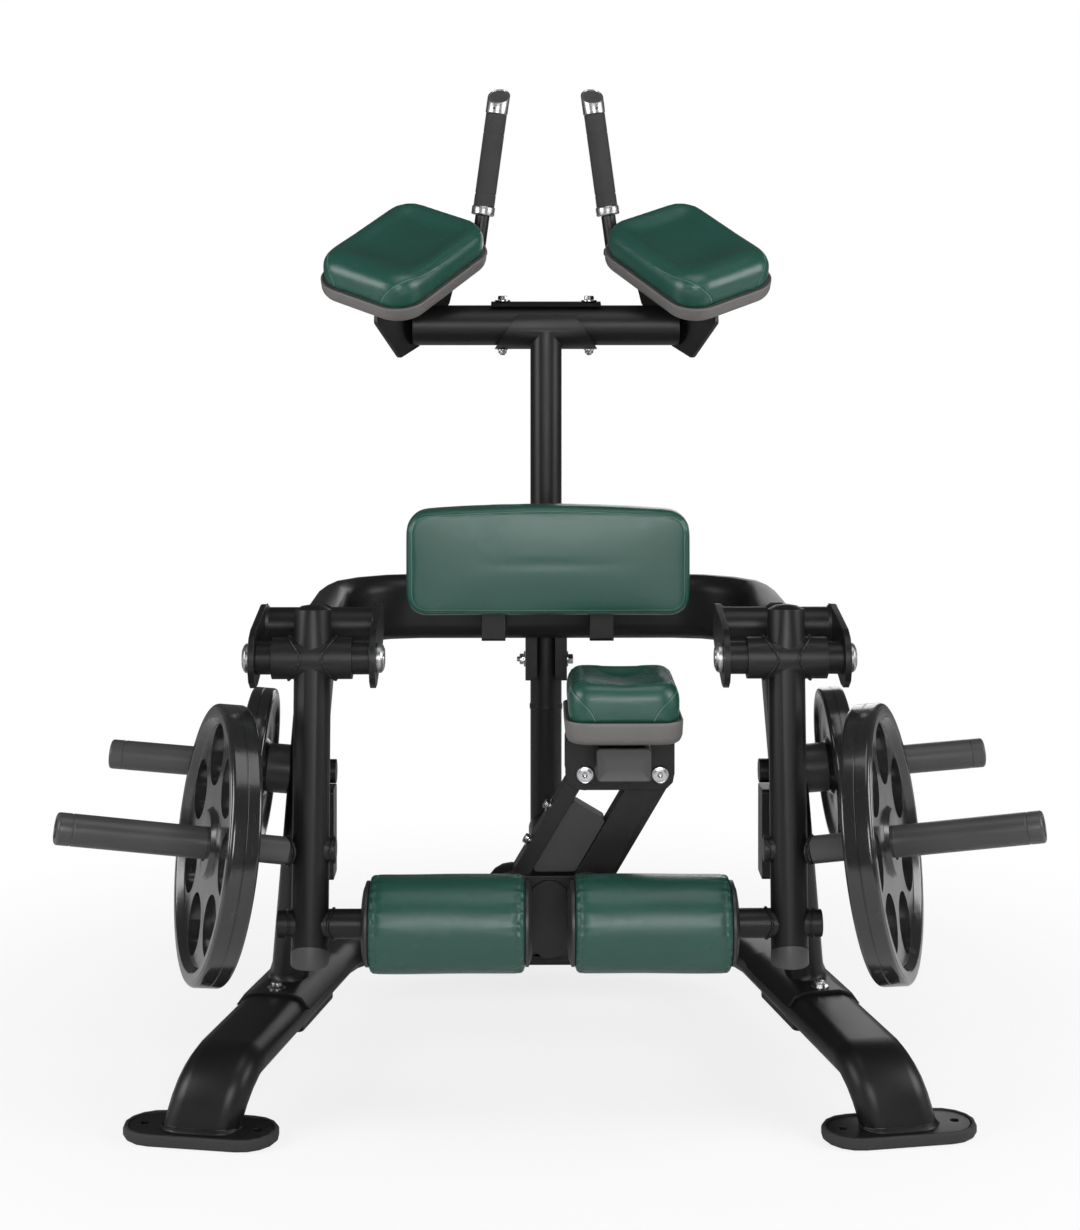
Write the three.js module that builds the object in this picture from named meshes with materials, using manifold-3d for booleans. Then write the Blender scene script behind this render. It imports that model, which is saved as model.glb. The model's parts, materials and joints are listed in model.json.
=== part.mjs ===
// Kneeling hamstring machine: frame, two swing arms, a swaying knee pad and the upholstery.
import * as THREE from "three";
import { mergeVertices } from "three/addons/utils/BufferGeometryUtils.js";
import Module from "manifold-3d";

const wasm = await Module();
wasm.setup();

// Scale of every length, and the gaps between pieces
const weldGap = 0.3;
const runningGap = 0.6;
const vertexTolerance = 0.0005;

// Smoothness of round shapes
const roundSides = 18;
const smallSides = 12;
const plateSides = 28;
const holeSides = 10;
const cornerSteps = 3;
const padSteps = 5;
const footSteps = 4;
const bendSteps = 4;
const ovalSteps = 5;

// Steel tube sections
const flatTubeWidth = 120;
const flatTubeDepth = 60;
const roundTubeRadius = 30;

// Base tubes and feet
const railHeight = 102;
const railFrontX = -522;
const railFrontY = -100;
const railRearX = -384;
const railRearY = 590;
const frontBendRadius = 66;
const rearBendRadius = 143;
const frontFoot = { x: -548, y: -108, turn: -10 };
const rearFoot = { x: 0, y: 815, turn: 0 };
const rearBendY = 803;
const footLength = 250;
const footWidth = 110;
const footPadHeight = 19;
const footPadRim = 7;
const footPadFloor = 11;
const footPadChamfer = 4;
const footPlateHeight = 6;
const footPlateInset = 9;
const footHoleRadius = 7;
const footHoleOffset = 92;

// Height of the upper beam's middle, which carries the yokes, the pads' support and the column's bracket
const beamHeight = 744;

// Saddles and uprights
const saddleThickness = 6;
const saddleFrontY = 171;
const saddleRearY = 403;
const saddleLow = 10;
const clampPlate = { frontY: 187, rearY: 383, half: 46, thickness: 6, corner: 12 };
const uprightBottom = { x: -451, y: 287, z: 134 };
const uprightTopDrop = 32;
const uprightTop = { x: -400, y: 259, z: beamHeight - uprightTopDrop };
const weldRise = 9;
const weldSpread = 5;
const innerPlate = { x: -371, y: 273, bottom: 308, top: 463, half: 33, corner: 7 };
const innerCap = { x: -368.5, radius: 21 };

// Upper beam and pivot yokes
const beamX = -384;
const beamFrontY = 142;
const beamRearY = 520;
const beamBendRadius = 150;
const pivotDrop = 11;
const pivotHeight = beamHeight - pivotDrop;
const yokeRise = 22;
const yokeTube = { y: 140, z: beamHeight + yokeRise };
const earThickness = 10;
const earInnerX = -285;
const earOuterX = -479;
const earFrontRadius = 48;
const earRearRadius = 38;
const earRearY = 137;
const earRearDrop = 2;
const earRearZ = yokeTube.z - earRearDrop;
const axleRadius = 12.5;
const axleCapRadius = 24;
const axleCapHeight = 11;
const axleCapRound = 4;
const sleeveRadius = 26.5;
const hubRadius = 34;
const hubHalfLength = 65;

// Swing arms
const armX = -384;
const armLean = 5.5;
const armTopLength = 87;
const armDome = 9;
const armEndHeight = 279.5;
const plugLength = 34;
const plugCut = 17;
const plugLip = 2;
const armBoss = { height: 430, radius: 20, length: 41 };

// Plate horns, measured along each horn
const hornYaw = 18;
const hornRise = 10;
const workingHorn = { bar: 22, flangeStart: 122, flangeRadius: 46, flange: 10 };
const workingHornHeight = 425;
const hornSleeveRadius = 25;
const workingHornLength = 408;
const hornEndRound = 5;
const storageHorn = { x: -407, y: 271, z: 491, boss: 42, bossLength: 80.5 };
const storageHornRise = 5;
const storageHornLength = 356;

// Weight plates
const largePlate = {
  radius: 218,
  width: 49,
  rim: 24,
  web: 24,
  hub: 51,
  hubWidth: 40,
  edge: 7,
  slope: 7,
  boreGap: 1.4,
};
const smallPlate = {
  radius: 136,
  width: 42,
  rim: 18,
  web: 24,
  hub: 46,
  hubWidth: 37,
  edge: 6,
  slope: 6,
  boreGap: 0.5,
};
const plateHoleCount = 7;
const plateHoleRadius = 49;
const plateHoleRing = 138;
const plateHoleTurn = 13;
const plateHang = 2.2;

// Ankle rollers
const rollerHeight = 314.5;
const rollerEndCap = { x: -435.5, radius: 21.5 };
const rollerPadRadius = 77.5;
const rollerPadRound = 9;
const rollerInnerX = -40;
const rollerOuterX = -288;
const rollerDiscRadius = 67;
const rollerDiscWidth = 12.5;
const rollerDiscDome = 7;
const rollerShaftRadius = 12.5;
const rollerCollarRadius = 23.5;
const rollerShaftEndX = -36;

// Column, its bracket and the crossbar clamp
const columnY = 588;
const columnBracketDrop = 144;
const columnBracketRise = 21;
const columnBracket = { half: 39, inner: 16.5, thickness: 8, bottom: beamHeight - columnBracketDrop, corner: 10 };
const columnBracketTop = beamHeight + columnBracketRise;
const columnBracketFrontY = 546;
const columnBracketRearY = 604;
const columnRing = { z: 545, width: 6, rise: 1.4 };
const columnFootRise = 12;
const columnFootSpread = 7;
const crossbarY = 602;
const crossbarHeight = 1265;
const crossbarRadius = 38;
const crossbarHalfLength = 252;
const clampThickness = 7;
const clampHalfTop = 54;
const clampHalfBottom = 98;
const clampCapHalf = 104;
const clampCapAngle = 38;
const clampSideAngle = 62;

// Spine under the knee pad, and its two pivot plates
const spineY = 80;
const spineWidth = 65;
const spineTall = 130;
const spineHeight = 286;
const neckWidth = 50;
const neckTall = 92;
const neckHeight = 279;
const gusset = { thickness: 10, frontY: 430, footY: 530, top: 240 };
const basePivotX = 62.5;
const basePivotHeight = 318;
const basePlate = { top: 355, bottom: 222, lobe: 44, foot: 42 };
const pivotPlateFrontY = 90;
const pivotPlateThickness = 8;
const linkDepth = 51;

// Knee pad linkage
const linkLength = 240;
const linkLean = 30.6;
const pinRadius = 8;
const pinHeadRadius = 15.5;
const pinHeadHeight = 7;
const pinNutRadius = 13;
const pinNutHeight = 9;
const leftLink = { inner: 6.7, outer: -20, lobe: 29 };
const rightLink = { inner: -36, outer: 23, end: 24, shoulder: 12, corner: 9 };
const bumper = { reach: 70.7, low: 52, lowOuter: 90, high: 190, corner: 7, inset: 4 };
const carrier = { left: 27, right: 209, bottom: 498, top: 583, corner: 28 };
const carrierUpperCorner = 5;
const carrierTube = { x: 120, width: 90, frontY: -20, bottom: 535, top: 590 };
const carrierTubeCorner = 7;
const carrierPadding = 9;
const carrierLedge = 8;

// Knee tray and cushion
const kneeTray = { x: 120, y: 65, halfX: 96, halfY: 116, corner: 42, bottom: 599 };
const kneeTrayRim = 37;
const kneeCushionHeight = 60;
const kneeChannel = 13;
const kneeCushionTop = 698;

// Thigh pad
const thighPadRise = 113.5;
const thighPad = { halfX: 247, halfZ: 91, z: beamHeight + thighPadRise, frontY: 215, corner: 35 };
const thighPadThickness = 68;
const thighBow = 12;
const thighBoard = { halfX: 228, halfZ: 76, thickness: 12, corner: 26 };
const thighSupportDrop = 30;
const thighSupportRise = 63.5;
const thighSupport = { x: 95, width: 42, bottom: beamHeight - thighSupportDrop, height: 44, post: 40 };
const thighSupportTop = thighPad.z + thighSupportRise;
const thighSupportCorner = 6;

// Elbow pads
const elbowCentre = { x: -267.6, y: 588, z: 1382 };
const elbowAcross = new THREE.Vector3(0.8311, -0.4777, -0.2849).normalize();
const elbowAlong = new THREE.Vector3(0.5561, 0.7047, 0.4406).normalize();
const elbowTray = { halfX: 113, halfY: 151, corner: 59, height: 31 };
const elbowCushionHeight = 56;
const elbowDish = 12;
const elbowLip = 7;
const rib = { heading: 54, thickness: 8, corner: 9 };
const ribOutline = [
  [-108, 60],
  [-112, 5],
  [-42, -62],
  [14, -40],
  [107, 41],
  [120, 71],
  [98, 190],
];

// Tray and cushion walls
const trayWall = 4;
const trayFloor = 4;
const trayFoot = 16;
const trayRound = 6;

// Handles
const handleBase = { x: -131.4, y: 690, z: 1407 };
const handleTip = { x: -88, y: 690, z: 1724 };
const handleFoot = 8;
const handleBarRadius = 14;
const gripRadius = 20.5;
const gripStart = 88.7;
const handleEnd = 51.25712;
const gripRing = 1.2;
const gripGroove = 3;
const gripGrooveInset = 22;
const handleCollar = 18;
const handleCollarRadius = 21.5;
const handleCutAngle = 24;
const handleLug = { x: 48, y: 72, radius: 19, thickness: 8 };

// Unitless shares of a size
const smallestCornerShare = 0.25;
const levelShare = 0.001;
const domeShare = 0.6;
const domeFallShare = 0.3;
const cornerShare = 0.29;
const discDomeShare = 0.72;
const cushionShares = [
  [0.05, 0, 0],
  [0.02, 0.12, 0],
  [0, 0.4, 0],
  [0.02, 0.68, 0.15],
  [0.07, 0.86, 0.4],
  [0.16, 0.97, 0.7],
  [0.32, 1, 1],
  [0.52, 1, 1],
  [0.72, 1, 1],
  [0.9, 1, 1],
];
const slabCushionShares = [
  [0.04, 0, 0],
  [0, 0.1, 0],
  [0, 0.72, 0],
  [0.05, 0.88, 0.3],
  [0.16, 0.96, 0.7],
  [0.4, 1, 1],
  [0.75, 1, 1],
];

// Finishes
const blackSteel = { color: 0x17181a, roughness: 0.45, metalness: 0.4 };
const chromeSteel = { color: 0xc9ccd0, roughness: 0.18, metalness: 1 };
const darkSteel = { color: 0x2b2c2e, roughness: 0.4, metalness: 0.6 };
const plateIron = { color: 0x1d1e20, roughness: 0.35, metalness: 0.5 };
const softRubber = { color: 0x232325, roughness: 0.85, metalness: 0 };
const greyPlastic = { color: 0x6f6a68, roughness: 0.5, metalness: 0 };
const greyCap = { color: 0x4a4a4b, roughness: 0.6, metalness: 0 };
const greenLeather = { color: 0x24493e, roughness: 0.45, metalness: 0 };

// Closed surface to solid, with flat triangles dropped and the faces turned outwards
function solidFrom(geometry) {
  const bare = geometry.index ? geometry.toNonIndexed() : geometry.clone();
  bare.deleteAttribute("normal");
  bare.deleteAttribute("uv");
  const merged = mergeVertices(bare, vertexTolerance);
  const position = merged.attributes.position;
  const corners = [0, 1, 2].map(() => new THREE.Vector3());
  const kept = [];
  let volume = 0;
  for (let i = 0; i < merged.index.count; i += 3) {
    const ids = [0, 1, 2].map((k) => merged.index.getX(i + k));
    if (new Set(ids).size < 3) continue;
    ids.forEach((id, k) => corners[k].fromBufferAttribute(position, id));
    volume += corners[0].dot(corners[1].clone().cross(corners[2]));
    kept.push(ids);
  }
  const triVerts = new Uint32Array(kept.flatMap(([a, b, c]) => (volume < 0 ? [a, c, b] : [a, b, c])));
  const mesh = new wasm.Mesh({ numProp: 3, vertProperties: position.array, triVerts });
  return new wasm.Manifold(mesh);
}

const fuse = (first, ...others) => others.reduce((sum, other) => sum.add(other), first);
const cut = (first, ...others) => others.reduce((rest, other) => rest.subtract(other), first);
const at = (place) => new THREE.Vector3(place.x, place.y, place.z);
const radians = THREE.MathUtils.degToRad;
const xAxis = new THREE.Vector3(1, 0, 0);
const yAxis = new THREE.Vector3(0, 1, 0);
const zAxis = new THREE.Vector3(0, 0, 1);

// Closed body through rings of points
function loft(rings) {
  const count = rings[0].length;
  const positions = rings.flat().flatMap((p) => [p.x, p.y, p.z]);
  const index = [];
  for (let r = 0; r + 1 < rings.length; r += 1) {
    for (let i = 0; i < count; i += 1) {
      const a = r * count + i;
      const b = r * count + ((i + 1) % count);
      index.push(a, b, b + count, a, b + count, a + count);
    }
  }
  const last = (rings.length - 1) * count;
  for (let i = 1; i + 1 < count; i += 1) {
    index.push(0, i + 1, i, last, last + i, last + i + 1);
  }
  const geometry = new THREE.BufferGeometry();
  geometry.setAttribute("position", new THREE.Float32BufferAttribute(positions, 3));
  geometry.setIndex(index);
  return solidFrom(geometry);
}

// Flat-oval section: wide along the first axis
function ovalSection(width, depth, grow = 0, steps = ovalSteps) {
  const radius = Math.min(width, depth) / 2;
  const offsetX = width / 2 - radius;
  const offsetY = depth / 2 - radius;
  const section = [];
  for (let side = 0; side < 2; side += 1) {
    for (let i = 0; i <= steps; i += 1) {
      const start = offsetX > offsetY ? -Math.PI / 2 : 0;
      const angle = start + side * Math.PI + (Math.PI * i) / steps;
      const sign = side ? -1 : 1;
      section.push([
        sign * offsetX + (radius + grow) * Math.cos(angle),
        sign * offsetY + (radius + grow) * Math.sin(angle),
      ]);
    }
  }
  return section;
}

// Section carried along a path, its first axis held close to the wide direction
function sweep(path, wideOf, sectionAt) {
  const rings = path.map((point, i) => {
    const before = path[Math.max(i - 1, 0)];
    const after = path[Math.min(i + 1, path.length - 1)];
    const tangent = after.clone().sub(before).normalize();
    const wide = wideOf.isVector3 ? wideOf.clone() : wideOf(tangent).clone();
    wide.addScaledVector(tangent, -wide.dot(tangent)).normalize();
    const thin = tangent.clone().cross(wide);
    return sectionAt(i).map(([a, b]) => point.clone().addScaledVector(wide, a).addScaledVector(thin, b));
  });
  return loft(rings);
}

// Corner points joined by straight runs and round bends
function bentPath(corners, radii) {
  const path = [corners[0].clone()];
  for (let i = 1; i + 1 < corners.length; i += 1) {
    const corner = corners[i];
    const back = corners[i - 1].clone().sub(corner).normalize();
    const ahead = corners[i + 1].clone().sub(corner).normalize();
    const half = Math.acos(THREE.MathUtils.clamp(back.dot(ahead), -1, 1)) / 2;
    const radius = radii[i - 1];
    const reach = radius / Math.tan(half);
    const centre = back.clone().add(ahead).normalize().multiplyScalar(radius / Math.sin(half)).add(corner);
    const from = corner.clone().addScaledVector(back, reach).sub(centre);
    const to = corner.clone().addScaledVector(ahead, reach).sub(centre);
    const turn = from.angleTo(to);
    const axis = from.clone().cross(to).normalize();
    for (let k = 0; k <= bendSteps; k += 1) {
      path.push(from.clone().applyAxisAngle(axis, (turn * k) / bendSteps).add(centre));
    }
  }
  path.push(corners[corners.length - 1].clone());
  return path;
}

// Outline pulled into a slab that starts at the origin and grows along a direction
function slab(shape, thickness, origin, right, up) {
  const geometry = new THREE.ExtrudeGeometry(shape, {
    depth: thickness,
    bevelEnabled: false,
    curveSegments: cornerSteps,
  });
  const normal = right.clone().cross(up);
  geometry.applyMatrix4(new THREE.Matrix4().makeBasis(right, up, normal).setPosition(origin));
  return solidFrom(geometry);
}

// Polygon with rounded corners: each corner is [x, y, radius]
function roundedOutline(corners) {
  const shape = new THREE.Shape();
  const points = corners.map(([x, y]) => new THREE.Vector2(x, y));
  corners.forEach(([, , radius], i) => {
    const corner = points[i];
    const before = points[(i + points.length - 1) % points.length].clone().sub(corner);
    const after = points[(i + 1) % points.length].clone().sub(corner);
    const half = Math.abs(before.angleTo(after)) / 2;
    const reach = radius / Math.tan(half);
    const start = corner.clone().add(before.setLength(reach));
    const end = corner.clone().add(after.setLength(reach));
    if (i) shape.lineTo(start.x, start.y);
    else shape.moveTo(start.x, start.y);
    if (radius) shape.quadraticCurveTo(corner.x, corner.y, end.x, end.y);
  });
  shape.closePath();
  return shape;
}

// Outline around two circles and the straight lines that touch both
function strapOutline(a, radiusA, b, radiusB) {
  const heading = Math.atan2(b.y - a.y, b.x - a.x);
  const spread = Math.acos((radiusA - radiusB) / Math.hypot(b.x - a.x, b.y - a.y));
  const shape = new THREE.Shape();
  const steps = smallSides / 2;
  for (let i = 0; i <= steps; i += 1) {
    const angle = heading + spread + ((2 * Math.PI - 2 * spread) * i) / steps;
    const x = a.x + radiusA * Math.cos(angle);
    const y = a.y + radiusA * Math.sin(angle);
    if (i) shape.lineTo(x, y);
    else shape.moveTo(x, y);
  }
  for (let i = 0; i <= steps; i += 1) {
    const angle = heading - spread + (2 * spread * i) / steps;
    shape.lineTo(b.x + radiusB * Math.cos(angle), b.y + radiusB * Math.sin(angle));
  }
  shape.closePath();
  return shape;
}

// Turned body: profile of [radius, height] pairs from axis to axis
function turned(profile, origin, axis, sides = roundSides) {
  const points = profile.map(([radius, height]) => new THREE.Vector2(Math.max(radius, 0), height));
  const geometry = new THREE.LatheGeometry(points, sides);
  const turn = new THREE.Quaternion().setFromUnitVectors(yAxis, axis.clone().normalize());
  geometry.applyQuaternion(turn);
  geometry.translate(origin.x, origin.y, origin.z);
  return solidFrom(geometry);
}

// Radius of a faceted bore whose flats still clear a shaft by the gap
const boreRadius = (radius, gap, sides) => (radius + gap) / Math.cos(Math.PI / sides);

// Plain round bar between two points
function bar(from, to, radius, sides = roundSides) {
  const axis = to.clone().sub(from);
  const length = axis.length();
  return turned([[0, 0], [radius, 0], [radius, length], [0, length]], from, axis, sides);
}

// Ring of a rounded rectangle, with the same number of points at every size
function roundedRing(halfX, halfY, corner, steps) {
  const ring = [];
  const signs = [[1, 1], [-1, 1], [-1, -1], [1, -1]];
  signs.forEach(([sx, sy], quarter) => {
    for (let i = 0; i <= steps; i += 1) {
      const angle = (quarter * Math.PI) / 2 + (Math.PI / 2) * (i / steps);
      ring.push([
        sx * (halfX - corner) + corner * Math.cos(angle),
        sy * (halfY - corner) + corner * Math.sin(angle),
      ]);
    }
  });
  return ring;
}

// Stack of rounded rectangles in its own frame: each level is [inset, height]
function stacked(size, levels, frame, steps, heightAt = () => 0) {
  const rings = levels.map(([inset, height, softness = 0]) => {
    const halfX = size.halfX - inset;
    const halfY = size.halfY - inset;
    const corner = Math.min(Math.max(size.corner - inset, size.corner * smallestCornerShare), halfX, halfY);
    const ring = roundedRing(halfX, halfY, corner, steps);
    return ring.map(([x, y]) => {
      const z = height + softness * heightAt(x / size.halfX, y / size.halfY);
      const bow = y > 0 && size.bow ? size.bow * (1 - (x / size.halfX) ** 2) : 0;
      return new THREE.Vector3(x, y + bow, z).applyMatrix4(frame);
    });
  });
  return loft(rings);
}

// Square wider than any tube, for cutting one side of a piece away
const wideSquare = roundedOutline([
  [-flatTubeWidth, -flatTubeWidth, 0],
  [flatTubeWidth, -flatTubeWidth, 0],
  [flatTubeWidth, flatTubeWidth, 0],
  [-flatTubeWidth, flatTubeWidth, 0],
]);

const machine = new THREE.Group();
machine.name = "kneeling_hamstring_machine";

// Solid to named mesh
function addMesh(name, solid, finish, mirrored = false) {
  const made = solid.getMesh();
  const geometry = new THREE.BufferGeometry();
  geometry.setAttribute("position", new THREE.Float32BufferAttribute(made.vertProperties, 3));
  geometry.setIndex(Array.from(made.triVerts));
  const mesh = new THREE.Mesh(geometry, new THREE.MeshStandardMaterial(finish));
  mesh.name = name;
  if (mirrored) mesh.scale.x = -1;
  machine.add(mesh);
  return mesh;
}

function addPair(name, solid, finish) {
  addMesh("left_" + name, solid, finish);
  addMesh("right_" + name, solid, finish, true);
}

// Base tubes with welded foot plates
const flatSection = (grow = 0) => ovalSection(flatTubeWidth, flatTubeDepth, grow);
const footPlateBottom = footPadFloor + weldGap;

function footFrame(foot, height) {
  const turn = new THREE.Matrix4().makeRotationZ(radians(foot.turn));
  return turn.setPosition(foot.x, foot.y, height);
}

function footPlate(foot) {
  const size = {
    halfX: footLength / 2 - footPlateInset,
    halfY: footWidth / 2 - footPlateInset,
    corner: footWidth / 2 - footPlateInset,
  };
  const frame = footFrame(foot, footPlateBottom);
  const plate = stacked(size, [[0, 0], [0, footPlateHeight]], frame, footSteps);
  const holes = [-1, 1].map((side) => {
    const low = new THREE.Vector3(side * footHoleOffset, 0, -footPlateHeight).applyMatrix4(frame);
    return bar(low, low.clone().addScaledVector(zAxis, footPlateHeight * 3), footHoleRadius, smallSides);
  });
  return cut(plate, ...holes);
}

function footPad(foot) {
  const size = { halfX: footLength / 2, halfY: footWidth / 2, corner: footWidth / 2 };
  const levels = [
    [footPadChamfer, 0],
    [0, footPadChamfer],
    [0, footPadHeight - footPadChamfer],
    [footPadChamfer / 2, footPadHeight],
    [footPadRim, footPadHeight],
    [footPadRim, footPadFloor],
  ];
  return stacked(size, levels, footFrame(foot, 0), footSteps);
}

const legBottom = footPlateBottom + footPlateHeight / 2;
const footPoint = (foot) => new THREE.Vector3(foot.x, foot.y, legBottom);
// Start of a leg, past its foot so that it can be cut level with the plate
const legStart = (foot, corner) => {
  const down = footPoint(foot).sub(corner).normalize();
  return footPoint(foot).addScaledVector(down, flatTubeDepth / 2);
};
const belowPlate = (foot) =>
  slab(wideSquare, flatTubeWidth, footPoint(foot).addScaledVector(zAxis, -flatTubeWidth), xAxis, yAxis);
const legWeld = (foot, wide) =>
  sweep(
    [0, 1, 2].map((i) => footPoint(foot).addScaledVector(zAxis, (i * weldRise) / 2)),
    wide,
    (i) => flatSection([weldSpread, weldSpread, 0][i]),
  );

const railCorner = new THREE.Vector3(railFrontX, railFrontY, railHeight);
const railPath = bentPath(
  [
    legStart(frontFoot, railCorner),
    railCorner,
    new THREE.Vector3(railRearX, railRearY, railHeight),
    new THREE.Vector3(-weldGap / 2, railRearY, railHeight),
  ],
  [frontBendRadius, rearBendRadius],
);
const legWide = new THREE.Vector3(-railRearY + railFrontY, railRearX - railFrontX, 0).normalize();
// Level across the rail and round its rear bend, held square to the rail down the leg
const railWide = (tangent) =>
  Math.abs(tangent.z) < levelShare ? new THREE.Vector3(-tangent.y, tangent.x, 0) : legWide;
const railHeading = new THREE.Vector3(railRearX - railFrontX, railRearY - railFrontY, 0).normalize();
const railAcross = new THREE.Vector3(-railHeading.y, railHeading.x, 0);
const railPoint = (y) => {
  const along = (y - railFrontY) / (railRearY - railFrontY);
  return new THREE.Vector3(railFrontX + along * (railRearX - railFrontX), y, railHeight);
};
const clampPlateOutline = roundedOutline([
  [0, -clampPlate.half, clampPlate.corner],
  [clampPlate.rearY - clampPlate.frontY, -clampPlate.half, clampPlate.corner],
  [clampPlate.rearY - clampPlate.frontY, clampPlate.half, clampPlate.corner],
  [0, clampPlate.half, clampPlate.corner],
]);
const clampPlateSolid = slab(
  clampPlateOutline,
  clampPlate.thickness * 2,
  railPoint(clampPlate.frontY).setZ(railHeight - flatTubeDepth / 2 - clampPlate.thickness),
  railHeading,
  railAcross,
);
const baseTube = cut(sweep(railPath, railWide, () => flatSection()), belowPlate(frontFoot));
addPair(
  "base_tube",
  fuse(baseTube, clampPlateSolid, footPlate(frontFoot), legWeld(frontFoot, legWide)),
  blackSteel,
);
addPair("foot_pad", footPad(frontFoot), softRubber);

const crossTubeSpace = sweep(
  [-flatTubeWidth, flatTubeWidth].map((x) => new THREE.Vector3(x, railRearY, railHeight)),
  yAxis,
  () => flatSection(weldGap),
);
const rearCorner = new THREE.Vector3(0, rearBendY, railHeight);
const rearPath = bentPath(
  [legStart(rearFoot, rearCorner), rearCorner, new THREE.Vector3(0, railRearY, railHeight)],
  [frontBendRadius],
);
const rearTube = cut(sweep(rearPath, xAxis, () => flatSection()), crossTubeSpace, belowPlate(rearFoot));
addMesh("rear_leg", fuse(rearTube, footPlate(rearFoot), legWeld(rearFoot, xAxis)), blackSteel);
addMesh("rear_foot_pad", footPad(rearFoot), softRubber);

// Upper beam, its pivot yokes and the column bracket
function beamSolid(grow) {
  const path = bentPath(
    [
      new THREE.Vector3(beamX, beamFrontY, beamHeight),
      new THREE.Vector3(beamX, beamRearY, beamHeight),
      new THREE.Vector3(-beamX, beamRearY, beamHeight),
      new THREE.Vector3(-beamX, beamFrontY, beamHeight),
    ],
    [beamBendRadius, beamBendRadius],
  );
  return sweep(path, zAxis, () => flatSection(grow));
}

const yokeTubeSpaces = [1, -1].map((side) =>
  bar(
    new THREE.Vector3(side * (earInnerX + earThickness), yokeTube.y, yokeTube.z),
    new THREE.Vector3(side * (earOuterX - earThickness), yokeTube.y, yokeTube.z),
    roundTubeRadius + weldGap,
  ),
);

const mirrored = (solid) => solid.mirror([1, 0, 0]);
const { half: bracketHalf, thickness: bracketWall } = columnBracket;
const { bottom: bracketBottom, corner: bracketCorner } = columnBracket;
const bracketSide = slab(
  roundedOutline([
    [columnBracketFrontY, bracketBottom, 0],
    [columnBracketRearY, bracketBottom, bracketCorner],
    [columnBracketRearY, columnBracketTop, bracketCorner],
    [columnBracketFrontY, columnBracketTop, 0],
  ]),
  bracketWall,
  new THREE.Vector3(bracketHalf - bracketWall, 0, 0),
  yAxis,
  zAxis,
);
const bracketLip = slab(
  roundedOutline([
    [columnBracket.inner, bracketBottom, bracketCorner],
    [bracketHalf, bracketBottom, 0],
    [bracketHalf, columnBracketTop, 0],
    [columnBracket.inner, columnBracketTop, 0],
  ]),
  bracketWall,
  new THREE.Vector3(0, columnBracketFrontY + bracketWall, 0),
  xAxis,
  zAxis,
);
const bracketEar = fuse(bracketSide, bracketLip);
addMesh(
  "upper_beam",
  fuse(cut(beamSolid(0), ...yokeTubeSpaces), bracketEar, mirrored(bracketEar)),
  blackSteel,
);

const pivotPoint = { x: 0, y: pivotHeight };
function yokeEar(x) {
  const outline = strapOutline(pivotPoint, earFrontRadius, { x: earRearY, y: earRearZ }, earRearRadius);
  return slab(outline, earThickness, new THREE.Vector3(x - earThickness / 2, 0, 0), yAxis, zAxis);
}
const yokeTubeSolid = bar(
  new THREE.Vector3(earInnerX, yokeTube.y, yokeTube.z),
  new THREE.Vector3(earOuterX, yokeTube.y, yokeTube.z),
  roundTubeRadius,
);
const earFaceInner = earInnerX - earThickness / 2;
const earFaceOuter = earOuterX + earThickness / 2;
const earWelds = [[earFaceInner, -1], [earFaceOuter, 1]].map(([x, way]) =>
  turned(
    [[0, 0], [roundTubeRadius + weldSpread, 0], [roundTubeRadius, weldSpread], [0, weldSpread]],
    new THREE.Vector3(x, yokeTube.y, yokeTube.z),
    new THREE.Vector3(way, 0, 0),
  ),
);
const axleSpace = bar(
  new THREE.Vector3(earInnerX + earThickness, 0, pivotHeight),
  new THREE.Vector3(earOuterX - earThickness, 0, pivotHeight),
  boreRadius(axleRadius, weldGap, smallSides),
  smallSides,
);
const yokeEars = [yokeEar(earInnerX), yokeEar(earOuterX)];
addPair("yoke", cut(fuse(yokeTubeSolid, ...yokeEars, ...earWelds), axleSpace), blackSteel);

const axleStart = earInnerX + earThickness / 2 + weldGap;
const axleLength = axleStart - (earOuterX - earThickness / 2 - weldGap);
addPair(
  "axle",
  turned(
    [
      [0, -axleCapHeight],
      [axleCapRadius - axleCapRound, -axleCapHeight],
      [axleCapRadius, axleCapRound - axleCapHeight],
      [axleCapRadius, 0],
      [axleRadius, 0],
      [axleRadius, axleLength],
      [axleCapRadius, axleLength],
      [axleCapRadius, axleLength + axleCapHeight - axleCapRound],
      [axleCapRadius - axleCapRound, axleLength + axleCapHeight],
      [0, axleLength + axleCapHeight],
    ],
    new THREE.Vector3(axleStart, 0, pivotHeight),
    new THREE.Vector3(-1, 0, 0),
  ),
  chromeSteel,
);

const sleeveFrom = new THREE.Vector3(earFaceInner - weldGap, 0, pivotHeight);
const sleeveTo = new THREE.Vector3(earFaceOuter + weldGap, 0, pivotHeight);
addPair("bearing_sleeve", cut(bar(sleeveFrom, sleeveTo, sleeveRadius), axleSpace), darkSteel);

// Uprights on their saddles
const saddleOuter = sweep([railPoint(saddleFrontY), railPoint(saddleRearY)], railAcross, () =>
  flatSection(saddleThickness + weldGap),
);
const saddleInside = sweep(
  [railPoint(saddleFrontY - footWidth), railPoint(saddleRearY + footWidth)],
  railAcross,
  () => flatSection(weldGap),
);
const saddleTrimOutline = roundedOutline([
  [-flatTubeWidth, -flatTubeWidth, 0],
  [flatTubeWidth, -flatTubeWidth, 0],
  [flatTubeWidth, saddleLow, 0],
  [-flatTubeWidth, saddleLow, 0],
]);
const saddleTrim = slab(
  saddleTrimOutline,
  saddleRearY - saddleFrontY + footWidth * 2,
  railPoint(saddleFrontY - footWidth),
  railAcross,
  zAxis,
);
const saddle = cut(saddleOuter, saddleInside, saddleTrim);

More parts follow.
